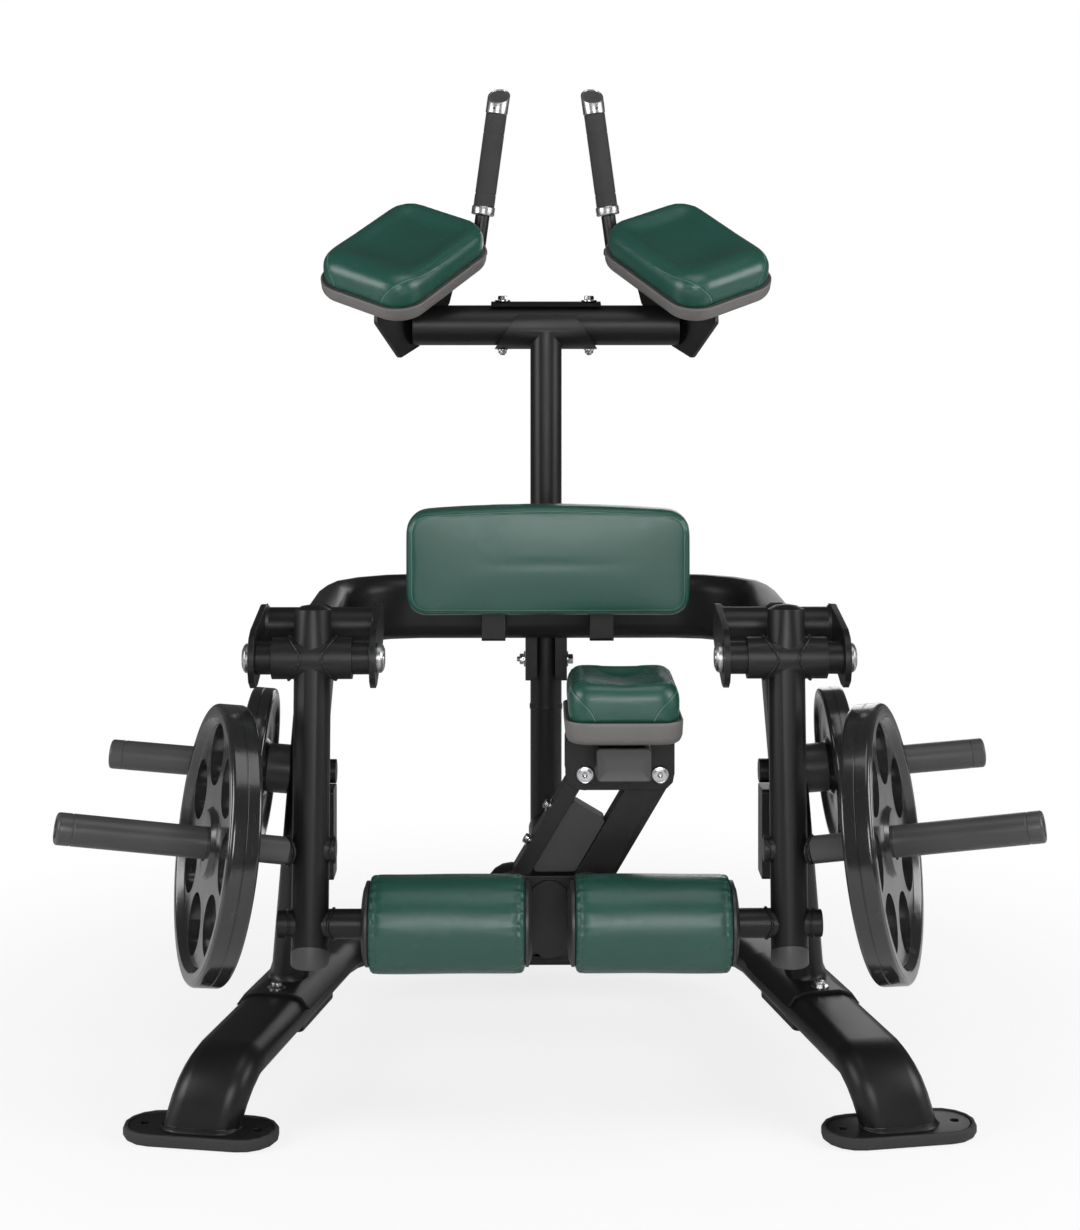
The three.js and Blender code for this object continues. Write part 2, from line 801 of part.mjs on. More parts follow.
const uprightWide = yAxis;
const uprightPath = [at(uprightBottom), at(uprightTop)];
const uprightTube = (grow) => sweep(uprightPath, uprightWide, () => flatSection(grow));
const uprightHeading = at(uprightTop).sub(at(uprightBottom)).normalize();
const uprightWeld = sweep(
  [0, 1, 2].map((i) => at(uprightBottom).addScaledVector(uprightHeading, i * weldRise)),
  uprightWide,
  (i) => flatSection([weldSpread, weldSpread, 0][i]),
);
const uprightAt = (z) => {
  const share = (z - uprightBottom.z) / (uprightTop.z - uprightBottom.z);
  return at(uprightBottom).lerp(at(uprightTop), share);
};
const innerPlateSolid = slab(
  roundedOutline([
    [innerPlate.y - innerPlate.half, innerPlate.bottom, innerPlate.corner],
    [innerPlate.y + innerPlate.half, innerPlate.bottom, innerPlate.corner],
    [innerPlate.y + innerPlate.half, innerPlate.top, innerPlate.corner],
    [innerPlate.y - innerPlate.half, innerPlate.top, innerPlate.corner],
  ]),
  roundTubeRadius,
  xAxis.clone().multiplyScalar(innerPlate.x - roundTubeRadius),
  yAxis,
  zAxis,
);
const innerCapFrom = uprightAt(storageHorn.z).setY(storageHorn.y);
const innerCapSolid = bar(innerCapFrom, innerCapFrom.clone().setX(innerCap.x), innerCap.radius);
const uprightFoot = cut(fuse(uprightTube(0), uprightWeld), saddleInside);
const uprightPieces = [uprightFoot, saddle, innerPlateSolid, innerCapSolid];
addPair("upright", cut(fuse(...uprightPieces), beamSolid(weldGap)), blackSteel);

// Storage horns on the uprights
const storageRise = radians(storageHornRise);
const storageAxis = new THREE.Vector3(-Math.cos(storageRise), 0, Math.sin(storageRise));
const storageHornSolid = turned(
  [
    [0, 0],
    [storageHorn.boss, 0],
    [storageHorn.boss, storageHorn.bossLength],
    [hornSleeveRadius, storageHorn.bossLength],
    [hornSleeveRadius, storageHornLength - hornEndRound],
    [hornSleeveRadius - hornEndRound, storageHornLength],
    [0, storageHornLength],
  ],
  at(storageHorn),
  storageAxis,
);
addPair("storage_horn", cut(storageHornSolid, uprightTube(weldGap)), darkSteel);

// Weight plates, bored to pass over the horns
function weightPlate(size, holed, sides, origin, axis) {
  const bore = hornSleeveRadius + size.boreGap;
  const half = size.width / 2;
  const web = size.web / 2;
  const hub = size.hubWidth / 2;
  const rimInside = size.radius - size.rim;
  const face = [
    [bore, hub],
    [size.hub, hub],
    [size.hub + size.slope, web],
    [rimInside - size.slope, web],
    [rimInside + size.edge / 2, half],
    [size.radius - size.edge, half],
    [size.radius, half - size.edge],
  ];
  const mirroredFace = face.map(([r, h]) => [r, -h]).reverse();
  const profile = [...face, ...mirroredFace, face[0]];
  const middle = origin.clone().addScaledVector(axis, half);
  let plate = turned(profile, middle, axis, sides);
  if (!holed) return plate;
  const up = zAxis.clone().addScaledVector(axis, -axis.z).normalize();
  for (let i = 0; i < plateHoleCount; i += 1) {
    const angle = radians(plateHoleTurn) + (2 * Math.PI * i) / plateHoleCount;
    const ring = up.clone().applyAxisAngle(axis, angle).multiplyScalar(plateHoleRing);
    const from = middle.clone().add(ring).addScaledVector(axis, -size.width);
    const to = from.clone().addScaledVector(axis, size.width * 2);
    plate = cut(plate, bar(from, to, plateHoleRadius, holeSides));
  }
  return plate;
}
const storagePlatePlace = at(storageHorn).addScaledVector(
  storageAxis,
  storageHorn.bossLength + weldGap - (smallPlate.width - smallPlate.hubWidth) / 2,
);
const storagePlate = weightPlate(smallPlate, false, roundSides, storagePlatePlace, storageAxis);
addPair("storage_plate", storagePlate, plateIron);

// Swing arms with hub, boss and end plug
const armDown = new THREE.Vector3(0, -Math.sin(radians(armLean)), -Math.cos(radians(armLean)));
const armPivot = new THREE.Vector3(armX, 0, pivotHeight);
const armAlong = (height) => (pivotHeight - height) / Math.cos(radians(armLean));
const armPoint = (height) => armPivot.clone().addScaledVector(armDown, armAlong(height));
const armTube = (grow) =>
  turned(
    [
      [0, -armTopLength - grow],
      [roundTubeRadius * domeShare, -armTopLength + armDome * domeFallShare - grow],
      [roundTubeRadius + grow, -armTopLength + armDome],
      [roundTubeRadius + grow, armAlong(armEndHeight) + grow],
      [0, armAlong(armEndHeight) + grow],
    ],
    armPivot,
    armDown,
  );
const hub = bar(
  new THREE.Vector3(armX - hubHalfLength, 0, pivotHeight),
  new THREE.Vector3(armX + hubHalfLength, 0, pivotHeight),
  hubRadius,
);
const sleeveSpace = bar(
  new THREE.Vector3(armX - hubHalfLength * 2, 0, pivotHeight),
  new THREE.Vector3(armX + hubHalfLength * 2, 0, pivotHeight),
  boreRadius(sleeveRadius, weldGap, roundSides),
);
const bossPoint = armPoint(armBoss.height);
const bossEnd = bossPoint.clone().addScaledVector(xAxis, armBoss.length);
const armBossSolid = bar(bossPoint, bossEnd, armBoss.radius, smallSides);
const endCapFrom = armPoint(rollerHeight);
const endCapSolid = bar(endCapFrom, endCapFrom.clone().setX(rollerEndCap.x), rollerEndCap.radius);
addPair("arm", cut(fuse(armTube(0), hub, armBossSolid, endCapSolid), sleeveSpace), blackSteel);

const plugStart = armPoint(armEndHeight).addScaledVector(armDown, weldGap);
const plugRound = turned(
  [
    [0, 0],
    [roundTubeRadius, 0],
    [roundTubeRadius, plugLength - plugLip],
    [roundTubeRadius - plugLip, plugLength],
    [0, plugLength],
  ],
  plugStart,
  armDown,
);
const plugFront = new THREE.Vector3(0, -1, 0);
const plugCutTilt = Math.atan2(plugCut, roundTubeRadius * 2);
const plugCutOrigin = plugStart
  .clone()
  .addScaledVector(armDown, plugLength - plugCut)
  .addScaledVector(plugFront, roundTubeRadius);
const plugCutSlab = slab(
  wideSquare,
  flatTubeDepth,
  plugCutOrigin,
  xAxis.clone().negate(),
  new THREE.Vector3(0, Math.cos(plugCutTilt), -Math.sin(plugCutTilt)),
);
addPair("arm_end_plug", cut(plugRound, plugCutSlab), greyCap);

// Working horns and plates on the arms
const hornDirection = (rise) =>
  new THREE.Vector3(
    -Math.cos(radians(rise)) * Math.cos(radians(hornYaw)),
    -Math.cos(radians(rise)) * Math.sin(radians(hornYaw)),
    Math.sin(radians(rise)),
  );
const hornAxis = hornDirection(hornRise);
const hornRoot = armPoint(workingHornHeight);
const hornFlangeEnd = workingHorn.flangeStart + workingHorn.flange;
const workingHornSolid = turned(
  [
    [0, 0],
    [workingHorn.bar, 0],
    [workingHorn.bar, workingHorn.flangeStart],
    [workingHorn.flangeRadius, workingHorn.flangeStart],
    [workingHorn.flangeRadius, hornFlangeEnd],
    [hornSleeveRadius, hornFlangeEnd],
    [hornSleeveRadius, workingHornLength - hornEndRound],
    [hornSleeveRadius - hornEndRound, workingHornLength],
    [0, workingHornLength],
  ],
  hornRoot,
  hornAxis,
);
addPair("working_horn", cut(workingHornSolid, armTube(weldGap)), darkSteel);
// The plate's bore is wider than the horn, so the plate hangs a little more upright than the horn's axis
const plateAxis = hornDirection(hornRise - plateHang);
const hangReach = workingHorn.flangeRadius * Math.sin(radians(plateHang));
const plateMiddleAt = hornFlangeEnd + weldGap + largePlate.hubWidth / 2 + hangReach;
const workingPlatePlace = hornRoot
  .clone()
  .addScaledVector(hornAxis, plateMiddleAt)
  .addScaledVector(plateAxis, -largePlate.width / 2);
const workingPlate = weightPlate(largePlate, true, plateSides, workingPlatePlace, plateAxis);
addPair("working_plate", workingPlate, plateIron);

// Ankle rollers on their shafts
const rollerPoint = (x) => new THREE.Vector3(x, armPoint(rollerHeight).y, rollerHeight);
const rollerDiscOuterX = rollerOuterX - weldGap - rollerDiscWidth;
const rollerSolid = fuse(
  bar(rollerPoint(armX), rollerPoint(rollerDiscOuterX - runningGap), rollerCollarRadius),
  bar(rollerPoint(armX), rollerPoint(rollerShaftEndX), rollerShaftRadius, smallSides),
);
addPair("roller_shaft", cut(rollerSolid, armTube(weldGap)), blackSteel);

const rollerBore = rollerShaftRadius + runningGap;
const rollerWidth = rollerInnerX - rollerOuterX;
addPair(
  "roller_pad",
  turned(
    [
      [rollerBore, 0],
      [rollerPadRadius - rollerPadRound, 0],
      [rollerPadRadius - rollerPadRound * cornerShare, rollerPadRound * cornerShare],
      [rollerPadRadius, rollerPadRound],
      [rollerPadRadius, rollerWidth - rollerPadRound],
      [rollerPadRadius - rollerPadRound * cornerShare, rollerWidth - rollerPadRound * cornerShare],
      [rollerPadRadius - rollerPadRound, rollerWidth],
      [rollerBore, rollerWidth],
      [rollerBore, 0],
    ],
    rollerPoint(rollerOuterX),
    xAxis,
    plateSides,
  ),
  greenLeather,
);
function rollerDisc(origin, axis, through) {
  const inside = through ? rollerDiscWidth : rollerDiscWidth / 2;
  const profile = [
    [rollerBore, 0],
    [rollerDiscRadius, 0],
    [rollerDiscRadius, rollerDiscWidth - rollerDiscDome],
    [rollerDiscRadius * discDomeShare, rollerDiscWidth],
    [through ? rollerBore : 0, rollerDiscWidth],
    ...(through ? [[rollerBore, 0]] : [[0, inside], [rollerBore, inside], [rollerBore, 0]]),
  ];
  return turned(profile, origin, axis);
}
addPair("roller_inner_disc", rollerDisc(rollerPoint(rollerInnerX + weldGap), xAxis, false), greyPlastic);
addPair(
  "roller_outer_disc",
  rollerDisc(rollerPoint(rollerOuterX - weldGap), xAxis.clone().negate(), true),
  greyPlastic,
);

// Crossbar with its ribs
const crossbarFrom = new THREE.Vector3(-crossbarHalfLength, crossbarY, crossbarHeight);
const elbowUp = elbowAcross.clone().cross(elbowAlong).normalize();
const elbowRight = elbowAlong.clone().cross(elbowUp).normalize();
const elbowTurn = new THREE.Matrix4().makeBasis(elbowRight, elbowAlong, elbowUp);
const ribRight = new THREE.Vector3(Math.cos(radians(rib.heading)), Math.sin(radians(rib.heading)), 0);
const ribSide = ribRight.clone().cross(zAxis);
const ribSolid = slab(
  roundedOutline(ribOutline.map(([along, up]) => [along, up, rib.corner])),
  rib.thickness,
  crossbarFrom.clone().addScaledVector(ribSide, -rib.thickness / 2),
  ribRight,
  zAxis,
);
const beyondRib = slab(
  wideSquare,
  flatTubeWidth,
  crossbarFrom.clone().addScaledVector(ribSide, -flatTubeWidth),
  ribRight,
  zAxis,
);
const trayUnderside = at(elbowCentre).addScaledVector(elbowUp, -elbowTray.height - weldGap);
const aboveTray = slab(
  roundedOutline(roundedRing(elbowTray.halfY * 2, elbowTray.halfY * 2, 0, 1).map(([x, y]) => [x, y, 0])),
  elbowTray.halfY,
  trayUnderside,
  elbowRight,
  elbowAlong,
);
const crossbarMiddle = new THREE.Vector3(0, crossbarY, crossbarHeight);
const crossbarHalf = cut(bar(crossbarFrom, crossbarMiddle, crossbarRadius), beyondRib);
const ribbedHalf = fuse(crossbarHalf, cut(ribSolid, aboveTray));
addMesh("crossbar", fuse(ribbedHalf, mirrored(ribbedHalf)), blackSteel);

// Column with its clamp saddle under the crossbar, and the clamp's cap
const clampOuter = crossbarRadius + weldGap + clampThickness;
const barAround = (radius, half) =>
  bar(crossbarMiddle.clone().setX(-half), crossbarMiddle.clone().setX(half), radius);
const barSpace = barAround(crossbarRadius + weldGap, clampHalfBottom * 2);
const clampShell = cut(barAround(clampOuter, clampHalfBottom), barSpace);
const saddleFront = roundedOutline([
  [-clampHalfBottom, -clampOuter, 0],
  [clampHalfBottom, -clampOuter, 0],
  [clampHalfTop, clampOuter * Math.cos(radians(clampSideAngle)), clampThickness],
  [-clampHalfTop, clampOuter * Math.cos(radians(clampSideAngle)), clampThickness],
]);
const saddleBlock = slab(
  saddleFront,
  clampOuter * 2,
  new THREE.Vector3(0, crossbarY + clampOuter, crossbarHeight),
  xAxis,
  zAxis,
);
const columnFoot = railHeight + flatTubeDepth / 2 + weldGap;
const columnSolid = turned(
  [
    [0, 0],
    [roundTubeRadius + columnFootSpread, 0],
    [roundTubeRadius + columnFootSpread, columnFootRise / 2],
    [roundTubeRadius, columnFootRise],
    [roundTubeRadius, columnRing.z - columnRing.width - columnFoot],
    [roundTubeRadius + columnRing.rise, columnRing.z - columnRing.width / 2 - columnFoot],
    [roundTubeRadius + columnRing.rise, columnRing.z + columnRing.width / 2 - columnFoot],
    [roundTubeRadius, columnRing.z + columnRing.width - columnFoot],
    [roundTubeRadius, crossbarHeight - columnFoot],
    [0, crossbarHeight - columnFoot],
  ],
  new THREE.Vector3(0, columnY, columnFoot),
  zAxis,
);
const clampSaddle = clampShell.intersect(saddleBlock);
addMesh(
  "column",
  fuse(cut(columnSolid, barSpace), clampSaddle),
  blackSteel,
);

const clampCapBlock = slab(
  roundedOutline([
    [-clampCapHalf, clampOuter * Math.cos(radians(clampCapAngle)), 0],
    [clampCapHalf, clampOuter * Math.cos(radians(clampCapAngle)), 0],
    [clampCapHalf, clampOuter * 2, 0],
    [-clampCapHalf, clampOuter * 2, 0],
  ]),
  clampOuter * 2,
  new THREE.Vector3(0, crossbarY + clampOuter, crossbarHeight),
  xAxis,
  zAxis,
);
const clampCapShell = cut(barAround(clampOuter, clampCapHalf), barSpace);
addMesh("crossbar_clamp_cap", clampCapShell.intersect(clampCapBlock), blackSteel);

// Spine with the two pivot plates of the knee pad
const linkFrontY = pivotPlateFrontY + pivotPlateThickness + runningGap;
const linkRearY = linkFrontY + linkDepth;
const rearPlateY = linkRearY + runningGap;
const rearPlateEndY = rearPlateY + pivotPlateThickness;
const alongY = (fromY, toY, width, tall, height, x = 0) =>
  sweep([new THREE.Vector3(x, fromY, height), new THREE.Vector3(x, toY, height)], xAxis, () =>
    ovalSection(width, tall),
  );
const wallSlab = (outline, rearY, thickness) =>
  slab(outline, thickness, new THREE.Vector3(0, rearY, 0), xAxis, zAxis);

function basePivotPlate(rearY) {
  const web = roundedOutline([
    [-basePivotX, basePlate.top, 0],
    [-basePivotX - basePlate.lobe, basePivotHeight, basePlate.lobe * cornerShare],
    [-basePlate.foot, basePlate.bottom, basePlate.lobe * cornerShare],
    [basePlate.foot, basePlate.bottom, basePlate.lobe * cornerShare],
    [basePivotX + basePlate.lobe, basePivotHeight, basePlate.lobe * cornerShare],
    [basePivotX, basePlate.top, 0],
  ]);
  const lobes = [-1, 1].map((side) =>
    bar(
      new THREE.Vector3(side * basePivotX, rearY, basePivotHeight),
      new THREE.Vector3(side * basePivotX, rearY - pivotPlateThickness, basePivotHeight),
      basePlate.lobe,
    ),
  );
  return fuse(wallSlab(web, rearY, pivotPlateThickness), ...lobes);
}

const rearOfBeam = new THREE.Vector3(0, columnY, spineHeight - spineTall * 2);
const columnSpace = bar(
  rearOfBeam,
  rearOfBeam.clone().addScaledVector(zAxis, spineTall * 4),
  roundTubeRadius + weldGap,
);
const gussetSolid = slab(
  roundedOutline([
    [gusset.frontY, gusset.top, 0],
    [gusset.footY, columnFoot, 0],
    [columnY, columnFoot, 0],
    [columnY, gusset.top, 0],
  ]),
  gusset.thickness,
  new THREE.Vector3(-gusset.thickness / 2, 0, 0),
  yAxis,
  zAxis,
);
const columnFootSpace = bar(
  new THREE.Vector3(0, columnY, columnFoot - columnFootRise),
  new THREE.Vector3(0, columnY, columnFoot + columnFootRise + weldGap),
  roundTubeRadius + columnFootSpread + weldGap,
);
const pinSpace = (x, z) =>
  bar(
    new THREE.Vector3(x, pivotPlateFrontY - pinHeadRadius, z),
    new THREE.Vector3(x, rearPlateEndY + pinHeadRadius, z),
    boreRadius(pinRadius, weldGap, smallSides),
    smallSides,
  );
const basePinSpaces = [-basePivotX, basePivotX].map((x) => pinSpace(x, basePivotHeight));
addMesh(
  "spine",
  cut(
    fuse(
      alongY(spineY, pivotPlateFrontY + pivotPlateThickness / 2, spineWidth, spineTall, spineHeight),
      basePivotPlate(pivotPlateFrontY + pivotPlateThickness),
      alongY(pivotPlateFrontY, rearPlateEndY, neckWidth, neckTall, neckHeight),
      basePivotPlate(rearPlateEndY),
      alongY(rearPlateY, columnY, spineWidth, spineTall, spineHeight),
      gussetSolid,
    ),
    columnSpace,
    columnFootSpace,
    ...basePinSpaces,
  ),
  blackSteel,
);

// Knee pad links, each in a frame that leans with it
const lean = radians(linkLean);
const linkRight = new THREE.Vector3(Math.cos(lean), 0, -Math.sin(lean));
const linkUp = new THREE.Vector3(Math.sin(lean), 0, Math.cos(lean));
const linkPoint = (pivotX, across, along) =>
  new THREE.Vector3(pivotX, 0, basePivotHeight)
    .addScaledVector(linkRight, across)
    .addScaledVector(linkUp, along);
const linkSlab = (outline, pivotX, rearY, depth) =>
  slab(outline, depth, linkPoint(pivotX, 0, 0).setY(rearY), linkRight, linkUp);
const topPivots = [-basePivotX, basePivotX].map((x) => linkPoint(x, 0, linkLength));
const topPinSpaces = topPivots.map((point) => pinSpace(point.x, point.z));
const across = (point, radius) =>
  bar(point.clone().setY(linkFrontY), point.clone().setY(linkRearY), radius);

const leftLinkBar = linkSlab(
  roundedOutline([
    [leftLink.outer, 0, 0],
    [leftLink.inner, 0, 0],
    [leftLink.inner, linkLength, 0],
    [leftLink.outer, linkLength, 0],
  ]),
  -basePivotX,
  linkRearY,
  linkDepth,
);
addMesh(
  "left_knee_link",
  cut(
    fuse(
      leftLinkBar,
      across(linkPoint(-basePivotX, 0, 0), leftLink.lobe),
      across(linkPoint(-basePivotX, 0, linkLength), leftLink.lobe),
    ),
    basePinSpaces[0],
    topPinSpaces[0],
  ),
  blackSteel,
);
addMesh(
  "right_knee_link",
  cut(
    linkSlab(
      roundedOutline([
        [rightLink.inner, rightLink.shoulder, rightLink.corner],
        [-rightLink.end + rightLink.corner, -rightLink.end, rightLink.corner],
        [rightLink.outer - rightLink.corner, -rightLink.end, rightLink.corner],
        [rightLink.outer, -rightLink.corner, rightLink.corner],
        [rightLink.outer, linkLength + rightLink.corner, rightLink.corner],
        [rightLink.outer - rightLink.corner, linkLength + rightLink.end, rightLink.corner],
        [-rightLink.end + rightLink.corner, linkLength + rightLink.end, rightLink.corner],
        [rightLink.inner, linkLength - rightLink.shoulder, rightLink.corner],
      ]),
      basePivotX,
      linkRearY,
      linkDepth,
    ),
    basePinSpaces[1],
    topPinSpaces[1],
  ),
  blackSteel,
);
addMesh(
  "bumper_block",
  linkSlab(
    roundedOutline([
      [leftLink.inner + weldGap, bumper.low, bumper.corner],
      [bumper.reach, bumper.lowOuter, bumper.corner],
      [bumper.reach, bumper.high, bumper.corner],
      [leftLink.inner + weldGap, bumper.high, bumper.corner],
    ]),
    -basePivotX,
    linkRearY - bumper.inset,
    linkDepth - bumper.inset * 2,
  ),
  softRubber,
);

// Carrier above the links: two plates, a ledge over them and a square tube in front
const carrierOutline = roundedOutline([
  [carrier.left, carrier.bottom, carrier.corner],
  [carrier.right, carrier.bottom, carrier.corner],
  [carrier.right, carrier.top, carrierUpperCorner],
  [carrier.left, carrier.top, carrierUpperCorner],
]);
const carrierLedgeOutline = roundedOutline([
  [carrier.left, carrier.top - carrierLedge, 0],
  [carrier.right, carrier.top - carrierLedge, 0],
  [carrier.right, carrier.top, carrierUpperCorner],
  [carrier.left, carrier.top, carrierUpperCorner],
]);
const carrierTubeOutline = roundedOutline([
  [carrierTube.x - carrierTube.width / 2, carrierTube.bottom, carrierTubeCorner],
  [carrierTube.x + carrierTube.width / 2, carrierTube.bottom, carrierTubeCorner],
  [carrierTube.x + carrierTube.width / 2, carrierTube.top, carrierTubeCorner],
  [carrierTube.x - carrierTube.width / 2, carrierTube.top, carrierTubeCorner],
]);
const padBlock = (bottom) =>
  roundedOutline([
    [carrierTube.x - carrierTube.width / 2 + carrierPadding, bottom, 0],
    [carrierTube.x + carrierTube.width / 2 - carrierPadding, bottom, 0],
    [carrierTube.x + carrierTube.width / 2 - carrierPadding, kneeTray.bottom - weldGap, 0],
    [carrierTube.x - carrierTube.width / 2 + carrierPadding, kneeTray.bottom - weldGap, 0],
  ]);
addMesh(
  "knee_carrier",
  cut(
    fuse(
      wallSlab(carrierOutline, pivotPlateFrontY + pivotPlateThickness, pivotPlateThickness),
      wallSlab(carrierOutline, rearPlateEndY, pivotPlateThickness),
      wallSlab(carrierLedgeOutline, rearPlateEndY, rearPlateEndY - pivotPlateFrontY),
      wallSlab(carrierTubeOutline, pivotPlateFrontY, pivotPlateFrontY - carrierTube.frontY),
      wallSlab(padBlock(carrierTube.top - carrierPadding), pivotPlateFrontY - carrierPadding, flatTubeDepth),
      wallSlab(padBlock(carrier.top - carrierLedge), rearPlateEndY, flatTubeDepth),
    ),
    ...topPinSpaces,
  ),
  blackSteel,
);

// Pivot bolts with a round head in front and a nut behind
const pinStartY = pivotPlateFrontY - weldGap;
const pinLength = rearPlateEndY - pinStartY + weldGap;
const pivotPin = (x, z) =>
  turned(
    [
      [0, -pinHeadHeight],
      [pinHeadRadius - pinHeadHeight / 2, -pinHeadHeight],
      [pinHeadRadius, -pinHeadHeight / 2],
      [pinHeadRadius, 0],
      [pinRadius, 0],
      [pinRadius, pinLength],
      [pinNutRadius, pinLength],
      [pinNutRadius, pinLength + pinNutHeight],
      [0, pinLength + pinNutHeight],
    ],
    new THREE.Vector3(x, pinStartY, z),
    yAxis,
    smallSides,
  );
addMesh("left_base_pivot_bolt", pivotPin(-basePivotX, basePivotHeight), chromeSteel);
addMesh("right_base_pivot_bolt", pivotPin(basePivotX, basePivotHeight), chromeSteel);
addMesh("left_top_pivot_bolt", pivotPin(topPivots[0].x, topPivots[0].z), chromeSteel);
addMesh("right_top_pivot_bolt", pivotPin(topPivots[1].x, topPivots[1].z), chromeSteel);

// Trays and cushions
function trayLevels(height) {
  return [
    [trayFoot, 0],
    [trayRound, trayRound],
    [0, height - trayRound],
    [0, height],
    [trayWall, height],
    [trayWall, height - trayFloor],
  ];
}
function cushionLevels(size, shares, height) {
  const least = Math.min(size.halfX, size.halfY);
  return shares.map(([inset, rise, softness]) => [inset * least, rise * height, softness]);
}
const inside = (size) => ({
  ...size,
  halfX: size.halfX - trayWall - weldGap,
  halfY: size.halfY - trayWall - weldGap,
  corner: size.corner - trayWall - weldGap,
});
const kneeTrayFrame = new THREE.Matrix4().setPosition(kneeTray.x, kneeTray.y, kneeTray.bottom);
addMesh("knee_tray", stacked(kneeTray, trayLevels(kneeTrayRim), kneeTrayFrame, padSteps), greyPlastic);
const kneeFloor = kneeTray.bottom + kneeTrayRim - trayFloor + weldGap;
const kneeCushionFrame = new THREE.Matrix4().setPosition(kneeTray.x, kneeTray.y, kneeFloor);
const kneeSaddle = (u) => -kneeChannel * Math.cos((u * Math.PI) / 2) ** 2;
addMesh(
  "knee_cushion",
  stacked(
    inside(kneeTray),
    cushionLevels(kneeTray, cushionShares, kneeCushionTop - kneeFloor),
    kneeCushionFrame,
    padSteps,
    kneeSaddle,
  ),
  greenLeather,
);

const thighFrame = (rearY) =>
  new THREE.Matrix4().makeBasis(xAxis, zAxis, yAxis.clone().negate()).setPosition(0, rearY, thighPad.z);
const thighSize = { halfX: thighPad.halfX, halfY: thighPad.halfZ, corner: thighPad.corner, bow: thighBow };
const thighRearY = thighPad.frontY + thighPadThickness;
addMesh(
  "thigh_cushion",
  stacked(
    thighSize,
    cushionLevels(thighSize, slabCushionShares, thighPadThickness),
    thighFrame(thighRearY),
    padSteps,
  ),
  greenLeather,
);
const boardRearY = thighRearY + weldGap + thighBoard.thickness;
const boardSize = { halfX: thighBoard.halfX, halfY: thighBoard.halfZ, corner: thighBoard.corner };
const boardLevels = [
  [0, 0],
  [0, thighBoard.thickness],
];
const thighBoardSolid = stacked(boardSize, boardLevels, thighFrame(boardRearY), padSteps);
const supportBendZ = thighSupport.bottom + thighSupport.height;
const supportOutline = roundedOutline([
  [boardRearY - thighBoard.thickness / 2, thighSupport.bottom, thighSupportCorner],
  [beamRearY, thighSupport.bottom, 0],
  [beamRearY, supportBendZ, 0],
  [boardRearY + thighSupport.post, supportBendZ, thighSupportCorner],
  [boardRearY + thighSupport.post, thighSupportTop, thighSupportCorner],
  [boardRearY - thighBoard.thickness / 2, thighSupportTop, thighSupportCorner],
]);
const supportAt = (x) => {
  const side = xAxis.clone().multiplyScalar(x - thighSupport.width / 2);
  return slab(supportOutline, thighSupport.width, side, yAxis, zAxis);
};
addMesh(
  "thigh_pad_support",
  cut(fuse(thighBoardSolid, supportAt(-thighSupport.x), supportAt(thighSupport.x)), beamSolid(weldGap)),
  blackSteel,
);

const elbowFrame = (height) =>
  elbowTurn.clone().setPosition(at(elbowCentre).addScaledVector(elbowUp, height));
const elbowTrayLevels = trayLevels(elbowTray.height);
const elbowTraySolid = stacked(elbowTray, elbowTrayLevels, elbowFrame(-elbowTray.height), padSteps);
addPair("elbow_tray", elbowTraySolid, greyPlastic);
const elbowHollow = (u, v) => elbowLip * Math.max(0, -v) - elbowDish * (1 - u * u) * (1 - v * v);
addPair(
  "elbow_cushion",
  stacked(
    inside(elbowTray),
    cushionLevels(elbowTray, cushionShares, elbowCushionHeight),
    elbowFrame(weldGap - trayFloor),
    padSteps,
    elbowHollow,
  ),
  greenLeather,
);

// Handles behind the elbow pads, with rubber grips
const handleAxis = at(handleTip).sub(at(handleBase)).normalize();
const handleLength = at(handleTip).distanceTo(at(handleBase));
const gripEnd = handleLength - handleEnd;
const handleRound = turned(
  [
    [0, -handleFoot],
    [handleBarRadius, -handleFoot],
    [handleBarRadius, gripStart - handleCollar],
    [handleCollarRadius, gripStart - handleCollar],
    [handleCollarRadius, gripStart - weldGap],
    [handleBarRadius, gripStart - weldGap],
    [handleBarRadius, gripEnd + weldGap],
    [gripRadius, gripEnd + weldGap],
    [gripRadius, handleLength],
    [0, handleLength],
  ],
  at(handleBase),
  handleAxis,
);
const handleFront = new THREE.Vector3(0, -1, 0);
const handleCutSlab = slab(
  wideSquare,
  flatTubeDepth,
  at(handleTip)
    .addScaledVector(handleFront, gripRadius)
    .addScaledVector(handleAxis, -gripRadius * 2 * Math.tan(radians(handleCutAngle))),
  xAxis,
  new THREE.Vector3(0, Math.cos(radians(handleCutAngle)), Math.sin(radians(handleCutAngle))),
);
const toPad = (point) => {
  const from = point.clone().sub(at(elbowCentre));
  return { x: from.dot(elbowRight), y: from.dot(elbowAlong) };
};
const lugSolid = slab(
  strapOutline(handleLug, handleLug.radius, toPad(at(handleBase)), handleLug.radius),
  handleLug.thickness,
  trayUnderside.clone().addScaledVector(elbowUp, -handleLug.thickness),
  elbowRight,
  elbowAlong,
);
addPair("handle", fuse(cut(handleRound, handleCutSlab), lugSolid), chromeSteel);
const gripProfile = (start, end, radius) => [
  [radius, start],
  [radius, start + gripGrooveInset],
  [radius - gripRing, start + gripGrooveInset],
  [radius - gripRing, start + gripGrooveInset + gripGroove],
  [radius, start + gripGrooveInset + gripGroove],
  [radius, end],
];
const gripBore = handleBarRadius + weldGap;
const gripOutside = gripProfile(gripStart, gripEnd, gripRadius);
const gripSection = [[gripBore, gripStart], ...gripOutside, [gripBore, gripEnd], [gripBore, gripStart]];
addPair("handle_grip", turned(gripSection, at(handleBase), handleAxis), softRubber);

